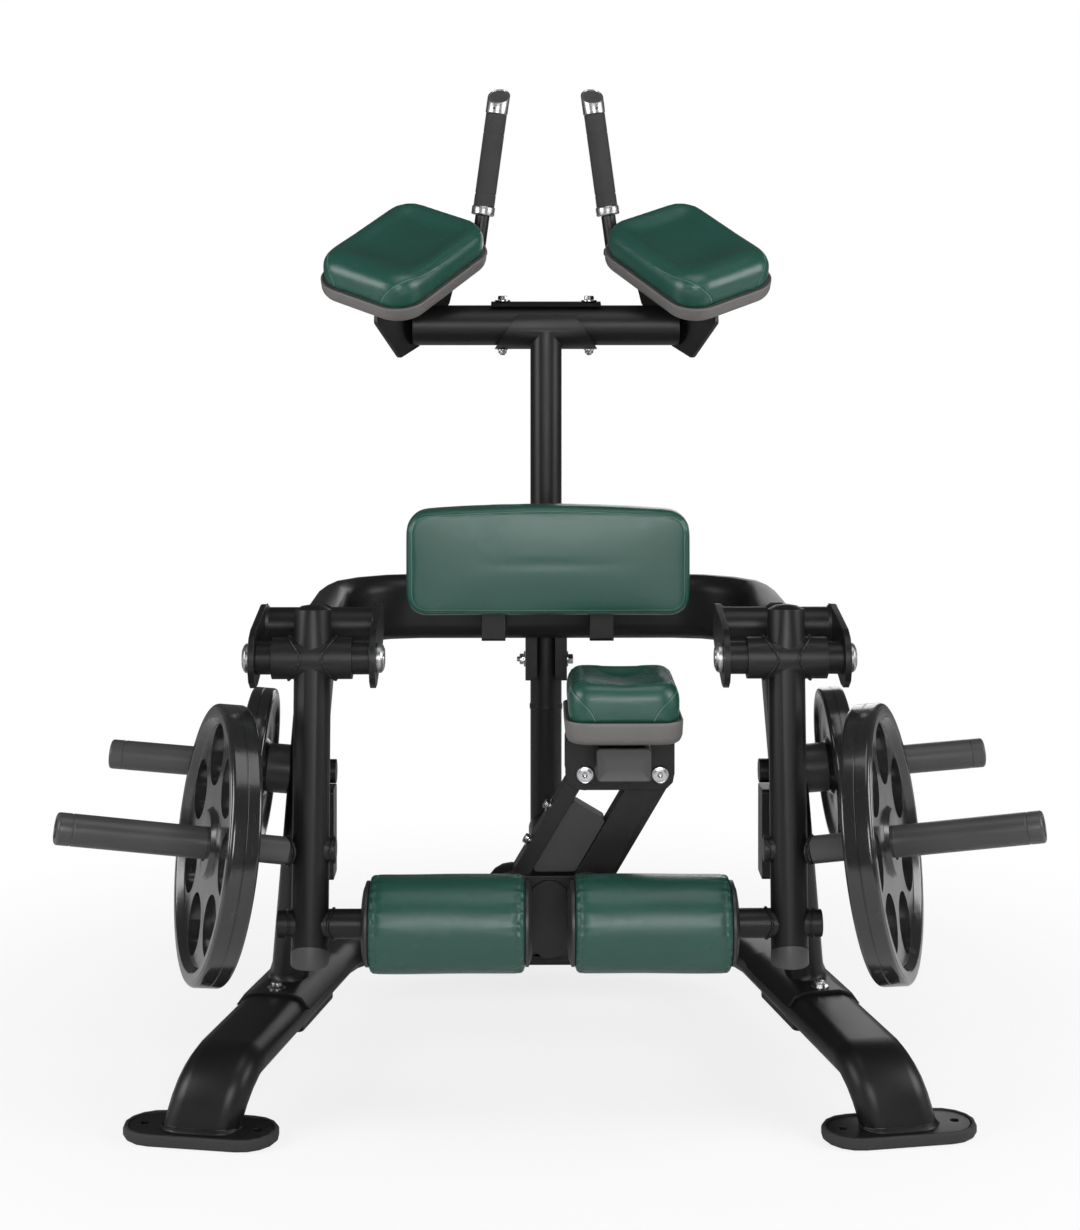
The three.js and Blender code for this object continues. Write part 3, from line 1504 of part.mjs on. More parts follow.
// Origin at the middle of the footprint, on the floor
const bounds = new THREE.Box3().setFromObject(machine, true);
const middle = bounds.getCenter(new THREE.Vector3());
machine.children.forEach((mesh) => mesh.position.set(0, -middle.y, -bounds.min.z));

export default machine;
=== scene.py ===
"""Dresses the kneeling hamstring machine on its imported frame, in a pale studio."""

from __future__ import annotations

import json
import logging
import math
from dataclasses import dataclass, field
from enum import Enum
from typing import Any, Callable, Iterable, Sequence

import bmesh
import bpy
from mathutils import Matrix, Vector
from mathutils.bvhtree import BVHTree

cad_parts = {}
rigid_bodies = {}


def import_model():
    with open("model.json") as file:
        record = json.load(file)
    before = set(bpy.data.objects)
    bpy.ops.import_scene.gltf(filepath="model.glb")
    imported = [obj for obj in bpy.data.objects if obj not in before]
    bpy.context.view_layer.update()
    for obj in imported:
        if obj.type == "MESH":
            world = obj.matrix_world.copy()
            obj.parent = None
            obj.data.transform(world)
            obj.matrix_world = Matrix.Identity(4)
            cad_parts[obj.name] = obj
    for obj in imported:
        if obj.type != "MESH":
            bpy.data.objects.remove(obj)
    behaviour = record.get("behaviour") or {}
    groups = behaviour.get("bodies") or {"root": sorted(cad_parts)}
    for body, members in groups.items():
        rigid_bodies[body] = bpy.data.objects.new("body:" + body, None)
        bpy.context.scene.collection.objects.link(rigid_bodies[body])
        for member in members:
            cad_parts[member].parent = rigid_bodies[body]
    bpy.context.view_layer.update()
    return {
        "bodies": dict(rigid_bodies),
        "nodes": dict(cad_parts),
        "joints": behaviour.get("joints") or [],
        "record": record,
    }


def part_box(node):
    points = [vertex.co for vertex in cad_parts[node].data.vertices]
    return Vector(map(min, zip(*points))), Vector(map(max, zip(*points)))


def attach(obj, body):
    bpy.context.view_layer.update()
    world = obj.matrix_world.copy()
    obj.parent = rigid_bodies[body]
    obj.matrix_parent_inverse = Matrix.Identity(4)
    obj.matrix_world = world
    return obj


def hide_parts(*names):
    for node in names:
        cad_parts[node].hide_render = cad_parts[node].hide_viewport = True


LOG = logging.getLogger("machine")
MM = 0.001
# How far the frame's middle lies behind the arm pivots, in millimetres.
ORIGIN_Y = 290.627


class Slot(Enum):
    """Material slots of the record."""

    PAINT = "black_paint"
    CHROME = "chrome_steel"
    IRON = "plate_iron"
    RUBBER = "black_rubber"
    PLASTIC = "grey_plastic"
    LEATHER = "green_leather"


class Side(Enum):
    """The two sides of the machine, each with the sign of its X."""

    LEFT = -1
    RIGHT = 1

    def node(self, name: str) -> str:
        """Name of this side's node or body."""
        return f"{self.name.lower()}_{name}"


def place(x: float, y: float, z: float) -> Vector:
    """Point in the machine's frame.

    Args:
        x: millimetres to the right of the middle.
        y: millimetres behind the arm pivots.
        z: millimetres above the floor.

    Returns:
        The point in metres.
    """
    return Vector((x, y - ORIGIN_Y, z)) * MM


# Shading


class Socket:
    """A node output that Math nodes are written on as plain sums."""

    def __init__(self, shader: "Shader", socket: bpy.types.NodeSocket) -> None:
        """Keeps the output and the shader it belongs to."""
        self.shader = shader
        self.socket = socket

    def math(self, operation: str, first: Any, second: Any = 0.0) -> "Socket":
        """One Math node.

        Args:
            operation: its operation.
            first: first value or socket.
            second: second value or socket.

        Returns:
            The node's output.
        """
        return self.shader.node("ShaderNodeMath", {"operation": operation}, {0: first, 1: second})

    def __add__(self, other: Any) -> "Socket":
        """Sum."""
        return self.math("ADD", self, other)

    def __radd__(self, other: Any) -> "Socket":
        """Sum with the value first."""
        return self.math("ADD", other, self)

    def __sub__(self, other: Any) -> "Socket":
        """Difference."""
        return self.math("SUBTRACT", self, other)

    def __rsub__(self, other: Any) -> "Socket":
        """Difference with the value first."""
        return self.math("SUBTRACT", other, self)

    def __mul__(self, other: Any) -> "Socket":
        """Product."""
        return self.math("MULTIPLY", self, other)

    def __rmul__(self, other: Any) -> "Socket":
        """Product with the value first."""
        return self.math("MULTIPLY", other, self)

    def __truediv__(self, other: Any) -> "Socket":
        """Quotient."""
        return self.math("DIVIDE", self, other)

    def __rtruediv__(self, other: Any) -> "Socket":
        """Quotient with the value first."""
        return self.math("DIVIDE", other, self)

    def __pow__(self, other: Any) -> "Socket":
        """Power."""
        return self.math("POWER", self, other)

    def __rpow__(self, other: Any) -> "Socket":
        """Power with the value first."""
        return self.math("POWER", other, self)


class Shader:
    """Node material under construction."""

    def __init__(self, name: str) -> None:
        """Starts an empty material with object coordinates.

        Args:
            name: the material's name.
        """
        self.material = bpy.data.materials.new(name)
        self.material.use_nodes = True
        self.tree = self.material.node_tree
        self.tree.nodes.clear()
        self.coordinates = self.node("ShaderNodeTexCoord", output="Object")

    def node(
        self, kind: str, settings: dict[str, Any] | None = None, inputs: dict[Any, Any] | None = None,
        output: int | str = 0,
    ) -> Socket:
        """Adds a node.

        Args:
            kind: node type.
            settings: properties, set before the inputs.
            inputs: values or sockets by input name or number.
            output: which output to hand back.

        Returns:
            That output.
        """
        made = self.tree.nodes.new(kind)
        for name, value in (settings or {}).items():
            setattr(made, name, value)
        for name, value in (inputs or {}).items():
            if isinstance(value, Socket):
                self.tree.links.new(value.socket, made.inputs[name])
            else:
                made.inputs[name].default_value = value
        return Socket(self, made.outputs[output])

    def noise(self, scale: float, detail: float = 3.0, stretch: Sequence[float] = (1, 1, 1)) -> Socket:
        """Noise from 0 to 1 about 0.5.

        Args:
            scale: cells in a metre.
            detail: octaves.
            stretch: scale along each axis.

        Returns:
            The noise.
        """
        mapped = self.node("ShaderNodeMapping", None, {"Vector": self.coordinates, "Scale": tuple(stretch)})
        return self.node("ShaderNodeTexNoise", None, {"Vector": mapped, "Scale": scale, "Detail": detail})

    def cells(self, scale: float, feature: str = "F1", randomness: float = 1.0) -> Socket:
        """Voronoi distance.

        Args:
            scale: cells in a metre.
            feature: which distance.
            randomness: 0 for a grid.

        Returns:
            The distance in cells.
        """
        settings = {"feature": feature}
        inputs = {"Vector": self.coordinates, "Scale": scale, "Randomness": randomness}
        return self.node("ShaderNodeTexVoronoi", settings, inputs, "Distance")

    def between(self, value: Socket, low: float, high: float) -> Socket:
        """Smooth step of a value.

        Args:
            value: what is stepped.
            low: where it is 0.
            high: where it is 1.

        Returns:
            The step from 0 to 1.
        """
        settings = {"interpolation_type": "SMOOTHSTEP"}
        return self.node("ShaderNodeMapRange", settings, {0: value, 1: low, 2: high})

    def mix(self, factor: Any, first: Any, second: Any) -> Socket:
        """Colour between two.

        Args:
            factor: share of the second.
            first: colour or socket.
            second: colour or socket.

        Returns:
            The colour.
        """
        settings = {"data_type": "RGBA"}
        inputs = {0: factor, 6: self._colour(first), 7: self._colour(second)}
        return self.node("ShaderNodeMix", settings, inputs, 2)

    @staticmethod
    def _colour(value: Any) -> Any:
        """Colour with its alpha, or the socket as it is."""
        return value if isinstance(value, Socket) else (*value, 1.0)

    def bump(self, height: Socket, strength: float, distance: float, normal: Socket | None = None) -> Socket:
        """Bump of a height.

        Args:
            height: the height, about 0 to 1.
            strength: its strength.
            distance: its depth in metres.
            normal: bump that lies under it.

        Returns:
            The normal.
        """
        inputs: dict[Any, Any] = {"Height": height, "Strength": strength, "Distance": distance}
        if normal:
            inputs["Normal"] = normal
        return self.node("ShaderNodeBump", None, inputs)

    def finish(self, inputs: dict[str, Any]) -> bpy.types.Material:
        """Closes the material with one Principled shader.

        Args:
            inputs: its inputs.

        Returns:
            The material.
        """
        surface = self.node("ShaderNodeBsdfPrincipled", None, inputs)
        output = self.tree.nodes.new("ShaderNodeOutputMaterial")
        self.tree.links.new(surface.socket, output.inputs["Surface"])
        return self.material

    def edges(self) -> Socket:
        """1 on the narrow faces along a piece's edges."""
        return self.node("ShaderNodeAttribute", {"attribute_name": "edge"}, None, "Fac")


Colour = tuple[float, float, float]


@dataclass(frozen=True)
class PowderCoat:
    """Satin black paint, baked on steel."""

    name: str = "powder_coat"
    colour: Colour = (0.0048, 0.0049, 0.0052)
    pale: Colour = (0.0085, 0.0085, 0.009)
    worn: Colour = (0.028, 0.028, 0.029)
    roughness: float = 0.4

    def build(self) -> bpy.types.Material:
        """Material with orange peel, faint mottling and rubbed edges.

        Returns:
            The material.
        """
        s = Shader(self.name)
        mottle = s.noise(7.0, 4.0)
        rubbed = s.edges() * s.between(s.noise(60.0, 4.0), 0.42, 0.68)
        base = s.mix(mottle, self.colour, self.pale)
        peel = s.bump(s.noise(620.0, 2.0), 0.22, 0.0004)
        grain = s.bump(s.noise(2600.0, 1.0), 0.12, 0.0002, peel)
        return s.finish(
            {
                "Base Color": s.mix(rubbed * 0.7, base, self.worn),
                "Roughness": self.roughness + (mottle - 0.5) * 0.16 - rubbed * 0.08,
                "Specular IOR Level": 0.33,
                "Normal": grain,
            }
        )


@dataclass(frozen=True)
class Enamel:
    """Glossy black of the weight plates, with scuffs."""

    name: str = "plate_enamel"
    colour: Colour = (0.015, 0.015, 0.0155)
    scuff_and_glint: Colour = (0.06, 0.06, 0.062)
    roughness: float = 0.19

    def build(self) -> bpy.types.Material:
        """Material with waves, fine scratches, dull scuffs and a painted highlight on the hole rims.

        Returns:
            The material.
        """
        s = Shader(self.name)
        waves = s.noise(26.0, 3.0)
        scuffs = s.between(s.noise(34.0, 6.0, (1.0, 1.0, 0.35)), 0.58, 0.74)
        scratches = s.between(s.noise(190.0, 4.0, (1.0, 1.0, 0.06)), 0.66, 0.72)
        # Scuffs and scratches are real marks; the edge term is a painted highlight that lightens the
        # hand-hole rims like glints.
        marks = scuffs * 0.35 + scratches * 0.3 + s.edges() * s.noise(80.0, 4.0) * 0.7
        relief = s.bump(waves, 0.35, 0.0012)
        fine = s.bump(s.noise(900.0, 2.0), 0.12, 0.0002, relief)
        return s.finish(
            {
                "Base Color": s.mix(marks, self.colour, self.scuff_and_glint),
                "Roughness": self.roughness + (waves - 0.5) * 0.14 + scuffs * 0.2,
                "Coat Weight": 0.35,
                "Coat Roughness": 0.12,
                "Normal": fine,
            }
        )


@dataclass(frozen=True)
class Leather:
    """Green upholstery leather with a fine pebbled grain."""

    name: str = "green_leather_skin"
    colour: Colour = (0.0125, 0.062, 0.045)
    pale: Colour = (0.0185, 0.085, 0.064)
    roughness: float = 0.26

    def build(self) -> bpy.types.Material:
        """Material with pebbles, pores, soft creases and a faint sheen.

        Returns:
            The material.
        """
        s = Shader(self.name)
        cloud = s.noise(9.0, 4.0)
        pebbles = s.between(s.cells(820.0, "DISTANCE_TO_EDGE"), 0.0, 0.22)
        pores = s.between(s.cells(1900.0), 0.1, 0.45)
        creases = s.noise(110.0, 5.0, (1.0, 0.5, 1.0))
        tone = cloud * 0.75 + pebbles * 0.25
        soft = s.bump(creases, 0.16, 0.0008)
        grain = s.bump(pebbles * 0.7 + pores * 0.3, 0.3, 0.00028, soft)
        return s.finish(
            {
                "Base Color": s.mix(tone, self.colour, self.pale),
                "Roughness": self.roughness + (cloud - 0.5) * 0.16 - pebbles * 0.05 + s.edges() * 0.1,
                "Specular IOR Level": 0.5,
                "Normal": grain,
            }
        )


@dataclass(frozen=True)
class Rubber:
    """Matt black rubber or vinyl."""

    name: str = "black_rubber_skin"
    colour: Colour = (0.016, 0.016, 0.0165)
    pale: Colour = (0.033, 0.033, 0.033)
    roughness: float = 0.72
    grain: float = 900.0
    depth: float = 0.0005

    def build(self) -> bpy.types.Material:
        """Material with a coarse grain and dusty patches.

        Returns:
            The material.
        """
        s = Shader(self.name)
        dust = s.noise(16.0, 5.0)
        skin = s.noise(self.grain, 3.0)
        rubbed = s.edges() * s.noise(70.0, 3.0)
        return s.finish(
            {
                "Base Color": s.mix(dust * 0.8 + rubbed * 0.3, self.colour, self.pale),
                "Roughness": self.roughness + (dust - 0.5) * 0.2,
                "Normal": s.bump(skin, 0.5, self.depth),
            }
        )


@dataclass(frozen=True)
class Plastic:
    """Moulded plastic with a spark-eroded grain."""

    name: str = "grey_plastic_skin"
    colour: Colour = (0.115, 0.108, 0.106)
    pale: Colour = (0.17, 0.16, 0.157)
    roughness: float = 0.5

    def build(self) -> bpy.types.Material:
        """Material with a fine stipple, slight flow marks and a painted highlight along bevelled edges.

        Returns:
            The material.
        """
        s = Shader(self.name)
        flow = s.noise(11.0, 4.0, (1.0, 1.0, 0.4))
        stipple = s.noise(1500.0, 2.0)
        # Painted highlight: the bevelled edges are lightened towards the pale colour, as if light caught
        # them.
        painted_edge_highlight = s.edges() * 0.5
        return s.finish(
            {
                "Base Color": s.mix(flow * 0.7 + painted_edge_highlight, self.colour, self.pale),
                "Roughness": self.roughness + (stipple - 0.5) * 0.2,
                "Normal": s.bump(stipple, 0.4, 0.00025),
            }
        )


@dataclass(frozen=True)
class Chrome:
    """Plated steel."""

    name: str = "chrome_plate"
    colour: Colour = (0.6, 0.6, 0.61)
    dull: Colour = (0.36, 0.36, 0.37)
    roughness: float = 0.24

    def build(self) -> bpy.types.Material:
        """Material with smudges and turning marks.

        Returns:
            The material.
        """
        s = Shader(self.name)
        smudge = s.noise(45.0, 5.0)
        turning = s.noise(1300.0, 2.0, (1.0, 0.12, 1.0))
        return s.finish(
            {
                "Base Color": s.mix(smudge * 0.7, self.colour, self.dull),
                "Metallic": 1.0,
                "Roughness": self.roughness + (smudge - 0.5) * 0.2,
                "Normal": s.bump(turning, 0.1, 0.0002),
            }
        )


@dataclass(frozen=True)
class Thread:
    """Sewing thread."""

    name: str = "green_thread"
    colour: Colour = (0.13, 0.28, 0.22)
    pale: Colour = (0.27, 0.44, 0.38)

    def build(self) -> bpy.types.Material:
        """Material with twisted strands.

        Returns:
            The material.
        """
        s = Shader(self.name)
        strands = s.noise(2400.0, 2.0)
        return s.finish(
            {
                "Base Color": s.mix(strands, self.colour, self.pale),
                "Roughness": 0.55 + (strands - 0.5) * 0.2,
                "Normal": s.bump(strands, 0.5, 0.0002),
            }
        )


class Palette:
    """The machine's materials, each built once."""

    def __init__(self) -> None:
        """Builds every material."""
        self.paint = PowderCoat().build()
        self.sleeve = PowderCoat(
            "horn_sleeve_coat", (0.048, 0.048, 0.0485), (0.07, 0.07, 0.071), (0.1, 0.1, 0.101), 0.34
        ).build()
        self.enamel = Enamel().build()
        self.leather = Leather().build()
        self.rubber = Rubber().build()
        self.grip = Rubber("grip_rubber", (0.022, 0.022, 0.022), (0.05, 0.05, 0.05), 0.74, 1400.0).build()
        self.block = Rubber("bumper_rubber", (0.03, 0.03, 0.03), (0.055, 0.055, 0.055), 0.62, 500.0).build()
        self.plastic = Plastic().build()
        self.end_plastic = Plastic("end_cap_plastic", (0.02, 0.02, 0.02), (0.04, 0.04, 0.04), 0.42).build()
        self.plug = Plastic("arm_plug_plastic", (0.04, 0.04, 0.04), (0.075, 0.075, 0.075), 0.5).build()
        self.chrome = Chrome().build()
        self.satin = Chrome("satin_ring", (0.5, 0.5, 0.505), (0.3, 0.3, 0.305), 0.36).build()
        self.dish = Plastic("dished_end", (0.17, 0.17, 0.172), (0.27, 0.27, 0.272), 0.32).build()
        self.thread = Thread().build()


# Meshes


def angles(count: int) -> list[float]:
    """Even steps round a circle, in radians."""
    return [2 * math.pi * i / count for i in range(count)]


@dataclass
class Form:
    """Faces under construction, in metres."""

    points: list[Vector] = field(default_factory=list)
    faces: list[tuple[int, ...]] = field(default_factory=list)

    def rings(self, rings: Sequence[Sequence[Vector]], closed: bool = False) -> "Form":
        """Adds a skin through rings of points, with its ends closed.

        Args:
            rings: rings with the same number of points.
            closed: whether the last ring joins the first.

        Returns:
            The form itself.
        """
        start = len(self.points)
        count = len(rings[0])
        for ring in rings:
            self.points.extend(ring)
        turns = len(rings) if closed else len(rings) - 1
        for r in range(turns):
            low = start + r * count
            high = start + ((r + 1) % len(rings)) * count
            for i in range(count):
                j = (i + 1) % count
                self.faces.append((low + i, low + j, high + j, high + i))
        if not closed:
            last = start + (len(rings) - 1) * count
            self.faces.append(tuple(range(start + count - 1, start - 1, -1)))
            self.faces.append(tuple(range(last, last + count)))
        return self

    def turned(
        self, profile: Sequence[tuple[float, float]], start: Vector, axis: Vector, sides: int = 64
    ) -> "Form":
        """Adds a body turned about an axis.

        Args:
            profile: radius and height pairs in millimetres; a closed loop where no end is on the axis.
            start: where height is 0.
            axis: direction of height.
            sides: steps round.

        Returns:
            The form itself.
        """
        turn = axis.normalized().to_track_quat("Z", "Y")
        loop = profile[0] == profile[-1]
        used = profile[:-1] if loop else profile
        rings = []
        for radius, height in used:
            ring = []
            for angle in angles(sides):
                spot = Vector((radius * math.cos(angle), radius * math.sin(angle), height)) * MM
                ring.append(start + turn @ spot)
            rings.append(ring)
        return self.rings(rings, closed=loop)

    def tube(
        self, path: Sequence[Vector], radius: Callable[[int], float], sides: int = 10, closed: bool = False
    ) -> "Form":
        """Adds a round tube along a path.

        Args:
            path: centre points in metres.
            radius: radius in millimetres at each point.
            sides: steps round.
            closed: whether the path is a loop.

        Returns:
            The form itself.
        """
        count = len(path)
        # The first step's up, along no path of the machine.
        up = Vector((0.13, 0.21, 0.97))
        rings = []
        for i, point in enumerate(path):
            before = path[(i - 1) % count] if closed else path[max(i - 1, 0)]
            after = path[(i + 1) % count] if closed else path[min(i + 1, count - 1)]
            along = (after - before).normalized()
            across = along.cross(up).normalized()
            up = across.cross(along).normalized()
            size = radius(i) * MM
            ring = []
            for angle in angles(sides):
                ring.append(point + (across * math.cos(angle) + up * math.sin(angle)) * size)
            rings.append(ring)
        return self.rings(rings, closed=closed)

    def build(self, name: str, smooth: float = 40.0) -> bpy.types.Object:
        """Makes the object.

        Args:
            name: its name.
            smooth: degrees above which an edge stays sharp.

        Returns:
            The object.
        """
        mesh = bpy.data.meshes.new(name)
        mesh.from_pydata([tuple(p) for p in self.points], [], self.faces)
        work = bmesh.new()
        work.from_mesh(mesh)
        bmesh.ops.remove_doubles(work, verts=work.verts, dist=1e-7)
        bmesh.ops.recalc_face_normals(work, faces=work.faces)
        work.to_mesh(mesh)
        work.free()
        return show(name, mesh, smooth)


def linked(name: str, data: bpy.types.ID) -> bpy.types.Object:
    """Puts an object with its data in the scene.

    Args:
        name: the object's name.
        data: its mesh, light or camera.

    Returns:
        The object.
    """
    made = bpy.data.objects.new(name, data)
    bpy.context.scene.collection.objects.link(made)
    return made


def show(name: str, mesh: bpy.types.Mesh, smooth: float = 40.0) -> bpy.types.Object:
    """Links a mesh as a smooth-shaded object.

    Args:
        name: the object's name.
        mesh: its mesh.
        smooth: degrees above which an edge stays sharp.

    Returns:
        The object.
    """
    smoothed(mesh, smooth)
    return linked(name, mesh)


def smoothed(mesh: bpy.types.Mesh, sharp: float) -> None:
    """Shades a mesh smooth, up to an angle in degrees."""
    mesh.shade_smooth()
    mesh.set_sharp_from_angle(angle=math.radians(sharp))


def weighted(piece: bpy.types.Object) -> None:
    """Lets a piece's large faces set its normals."""
    normals = piece.modifiers.new("weighted", "WEIGHTED_NORMAL")
    normals.keep_sharp = True


def applied(piece: bpy.types.Object) -> None:
    """Turns a piece's modifiers into its mesh.

    Args:
        piece: the piece.
    """
    graph = bpy.context.evaluated_depsgraph_get()
    result = bpy.data.meshes.new_from_object(piece.evaluated_get(graph))
    piece.modifiers.clear()
    old = piece.data
    piece.data = result
    bpy.data.meshes.remove(old)


def mirrored(source: bpy.types.Object, name: str) -> bpy.types.Object:
    """Copy on the other side of the machine.

    Args:
        source: piece of one side.
        name: the copy's name.

    Returns:
        The copy.
    """
    mesh = source.data.copy()
    mesh.transform(Matrix.Diagonal((-1, 1, 1, 1)))
    mesh.flip_normals()
    return linked(name, mesh)


def on_side(piece: bpy.types.Object, side: Side) -> bpy.types.Object:
    """Piece for a side, made from the left one.

    Args:
        piece: the left piece.
        side: the side.

    Returns:
        The piece itself on the left, its mirrored copy on the right.
    """
    if side is Side.LEFT:
        return piece
    return mirrored(piece, piece.name.replace("left", "right"))


def cut_off(work: bmesh.types.BMesh, origin: Vector, normal: Vector) -> list[bmesh.types.BMEdge]:
    """Cuts away what lies beyond a plane, and closes the cut.

    Args:
        work: mesh in work.
        origin: point on the plane.
        normal: direction of the side that goes.

    Returns:
        The edges round the cut.
    """
    parts = list(work.verts) + list(work.edges) + list(work.faces)
    bmesh.ops.bisect_plane(work, geom=parts, plane_co=origin, plane_no=normal, clear_outer=True)
    rim = [e for e in work.edges if e.is_boundary]
    bmesh.ops.holes_fill(work, edges=rim, sides=0)
    return rim


def bevelled(
    work: bmesh.types.BMesh, edges: Iterable[bmesh.types.BMEdge], width: float, segments: int = 2,
    clamp: bool = True,
) -> None:
    """Rounds edges and marks the new faces as edge faces.

    Args:
        work: mesh in work.
        edges: edges to round.
        width: width in millimetres.
        segments: steps across.
        clamp: whether narrow places limit the width everywhere.
    """
    layer = work.faces.layers.float.get("edge") or work.faces.layers.float.new("edge")
    chosen = list(edges)
    if not chosen:
        return
    made = bmesh.ops.bevel(
        work, geom=chosen, offset=width * MM, offset_type="OFFSET", segments=segments, profile=0.5,
        affect="EDGES", clamp_overlap=clamp, loop_slide=True,
    )
    for face in made["faces"]:
        face[layer] = 1.0


def angled(work: bmesh.types.BMesh, least: float) -> list[bmesh.types.BMEdge]:
    """Edges whose faces meet at more than an angle.

    Args:
        work: mesh in work.
        least: the angle in degrees.

    Returns:
        Those edges.
    """
    limit = math.radians(least)
    return [e for e in work.edges if len(e.link_faces) == 2 and e.calc_face_angle(0.0) > limit]


def dressed(
    piece: bpy.types.Object, body: str, material: bpy.types.Material,
    nodes: Sequence[str] = (),
) -> bpy.types.Object:
    """Gives a piece its material, its body and what it stands for.

    Args:
        piece: the piece.
        body: body it moves with.
        material: its material.
        nodes: nodes it replaces.

    Returns:
        The piece.
    """
    piece.data.materials.clear()
    piece.data.materials.append(material)
    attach(piece, body)
    if nodes:
        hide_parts(*nodes)
    return piece


class SteelWork:
    """Welded and cut steel pieces, refined from the frame's own nodes."""

    edge_width: float = 0.9
    least_length: float = 1.6
    flat_limit: float = 0.6
    edge_angle: float = 38.0
    smooth_angle: float = 33.0

    def __init__(self, palette: Palette, nodes: dict[str, bpy.types.Object]) -> None:
        """Keeps the palette and the frame's nodes."""
        self.palette = palette
        self.nodes = nodes

    def copy(self, node: str, name: str, cut: tuple[Vector, Vector] | None = None) -> bpy.types.Object:
        """Rounded copy of a node.

        Args:
            node: the node.
            name: the copy's name.
            cut: point and direction of a plane; what lies beyond it goes.

        Returns:
            The copy.
        """
        work = bmesh.new()
        work.from_mesh(self.nodes[node].data)
        bmesh.ops.remove_doubles(work, verts=work.verts, dist=2e-6)
        if cut:
            cut_off(work, *cut)
        bmesh.ops.dissolve_limit(
            work, angle_limit=math.radians(self.flat_limit), verts=work.verts, edges=work.edges,
            delimit={"NORMAL"},
        )
        shortest = self.edge_width * self.least_length * MM
        sharp = [e for e in angled(work, self.edge_angle) if e.calc_length() > shortest]
        bevelled(work, sharp, self.edge_width, clamp=False)
        bmesh.ops.triangulate(work, faces=[f for f in work.faces if len(f.verts) > 4])
        mesh = bpy.data.meshes.new(name)
        work.to_mesh(mesh)
        work.free()
        made = show(name, mesh, self.smooth_angle)
        weighted(made)
        return made

    def build(self, owner: dict[str, str], finishes: dict[str, tuple[Slot, bpy.types.Material]]) -> None:
        """Refines every node that has a finish here.

        Args:
            owner: body of each node.
            finishes: slot and material by node.
        """
        for node, (slot, material) in finishes.items():
            made = self.copy(node, f"{node}_body")
            dressed(made, owner[node], material, [node])


# Plates and horns


def round_corner(
    centre: tuple[float, float], radius: float, start: float, end: float, steps: int = 4
) -> list[tuple[float, float]]:
    """Points on an arc of a profile.

    Args:
        centre: radius and height of its centre.
        radius: its radius.
        start: first angle in degrees.
        end: last angle in degrees.
        steps: steps along it.

    Returns:
        The points.
    """
    made = []
    for i in range(steps + 1):
        angle = math.radians(start + (end - start) * i / steps)
        made.append((centre[0] + radius * math.cos(angle), centre[1] + radius * math.sin(angle)))
    return made


@dataclass(frozen=True)
class PlateSize:
    """Sizes of a weight plate in millimetres."""

    radius: float
    width: float
    rim: float
    web: float
    hub: float
    hub_width: float
    edge: float
    slope: float
    bore: float
    holes: int = 0
    hole_radius: float = 48.4
    hole_ring: float = 138.0
    hole_turn: float = 13.0
    hole_edge: float = 2.2

    def face(self) -> list[tuple[float, float]]:
        """Profile of the outer face, from the bore to the edge.

        Returns:
            Radius and height of each point.
        """
        half = self.width / 2
        web = self.web / 2
        hub = self.hub_width / 2
        inner = self.radius - self.rim
        return [
            (self.bore, hub - 1.5), (self.bore + 1.5, hub), (self.hub - 2, hub), (self.hub, hub - 0.6),
            (self.hub + self.slope - 1.5, web + 0.6), (self.hub + self.slope + 1, web),
            (inner - self.slope - 1, web), (inner - self.slope + 1, web + 0.8), (inner + 1, half - 2.6),
            (inner + 2.6, half - 0.8), (inner + 4.4, half), (self.radius - self.edge - 1.6, half),
            (self.radius - self.edge - 0.6, half - 0.9),
            *round_corner((self.radius - self.edge, half - self.edge - 0.6), self.edge, 84, 0, 6),
            (self.radius, 1.2),
            (self.radius - 0.8, 0.5),
        ]


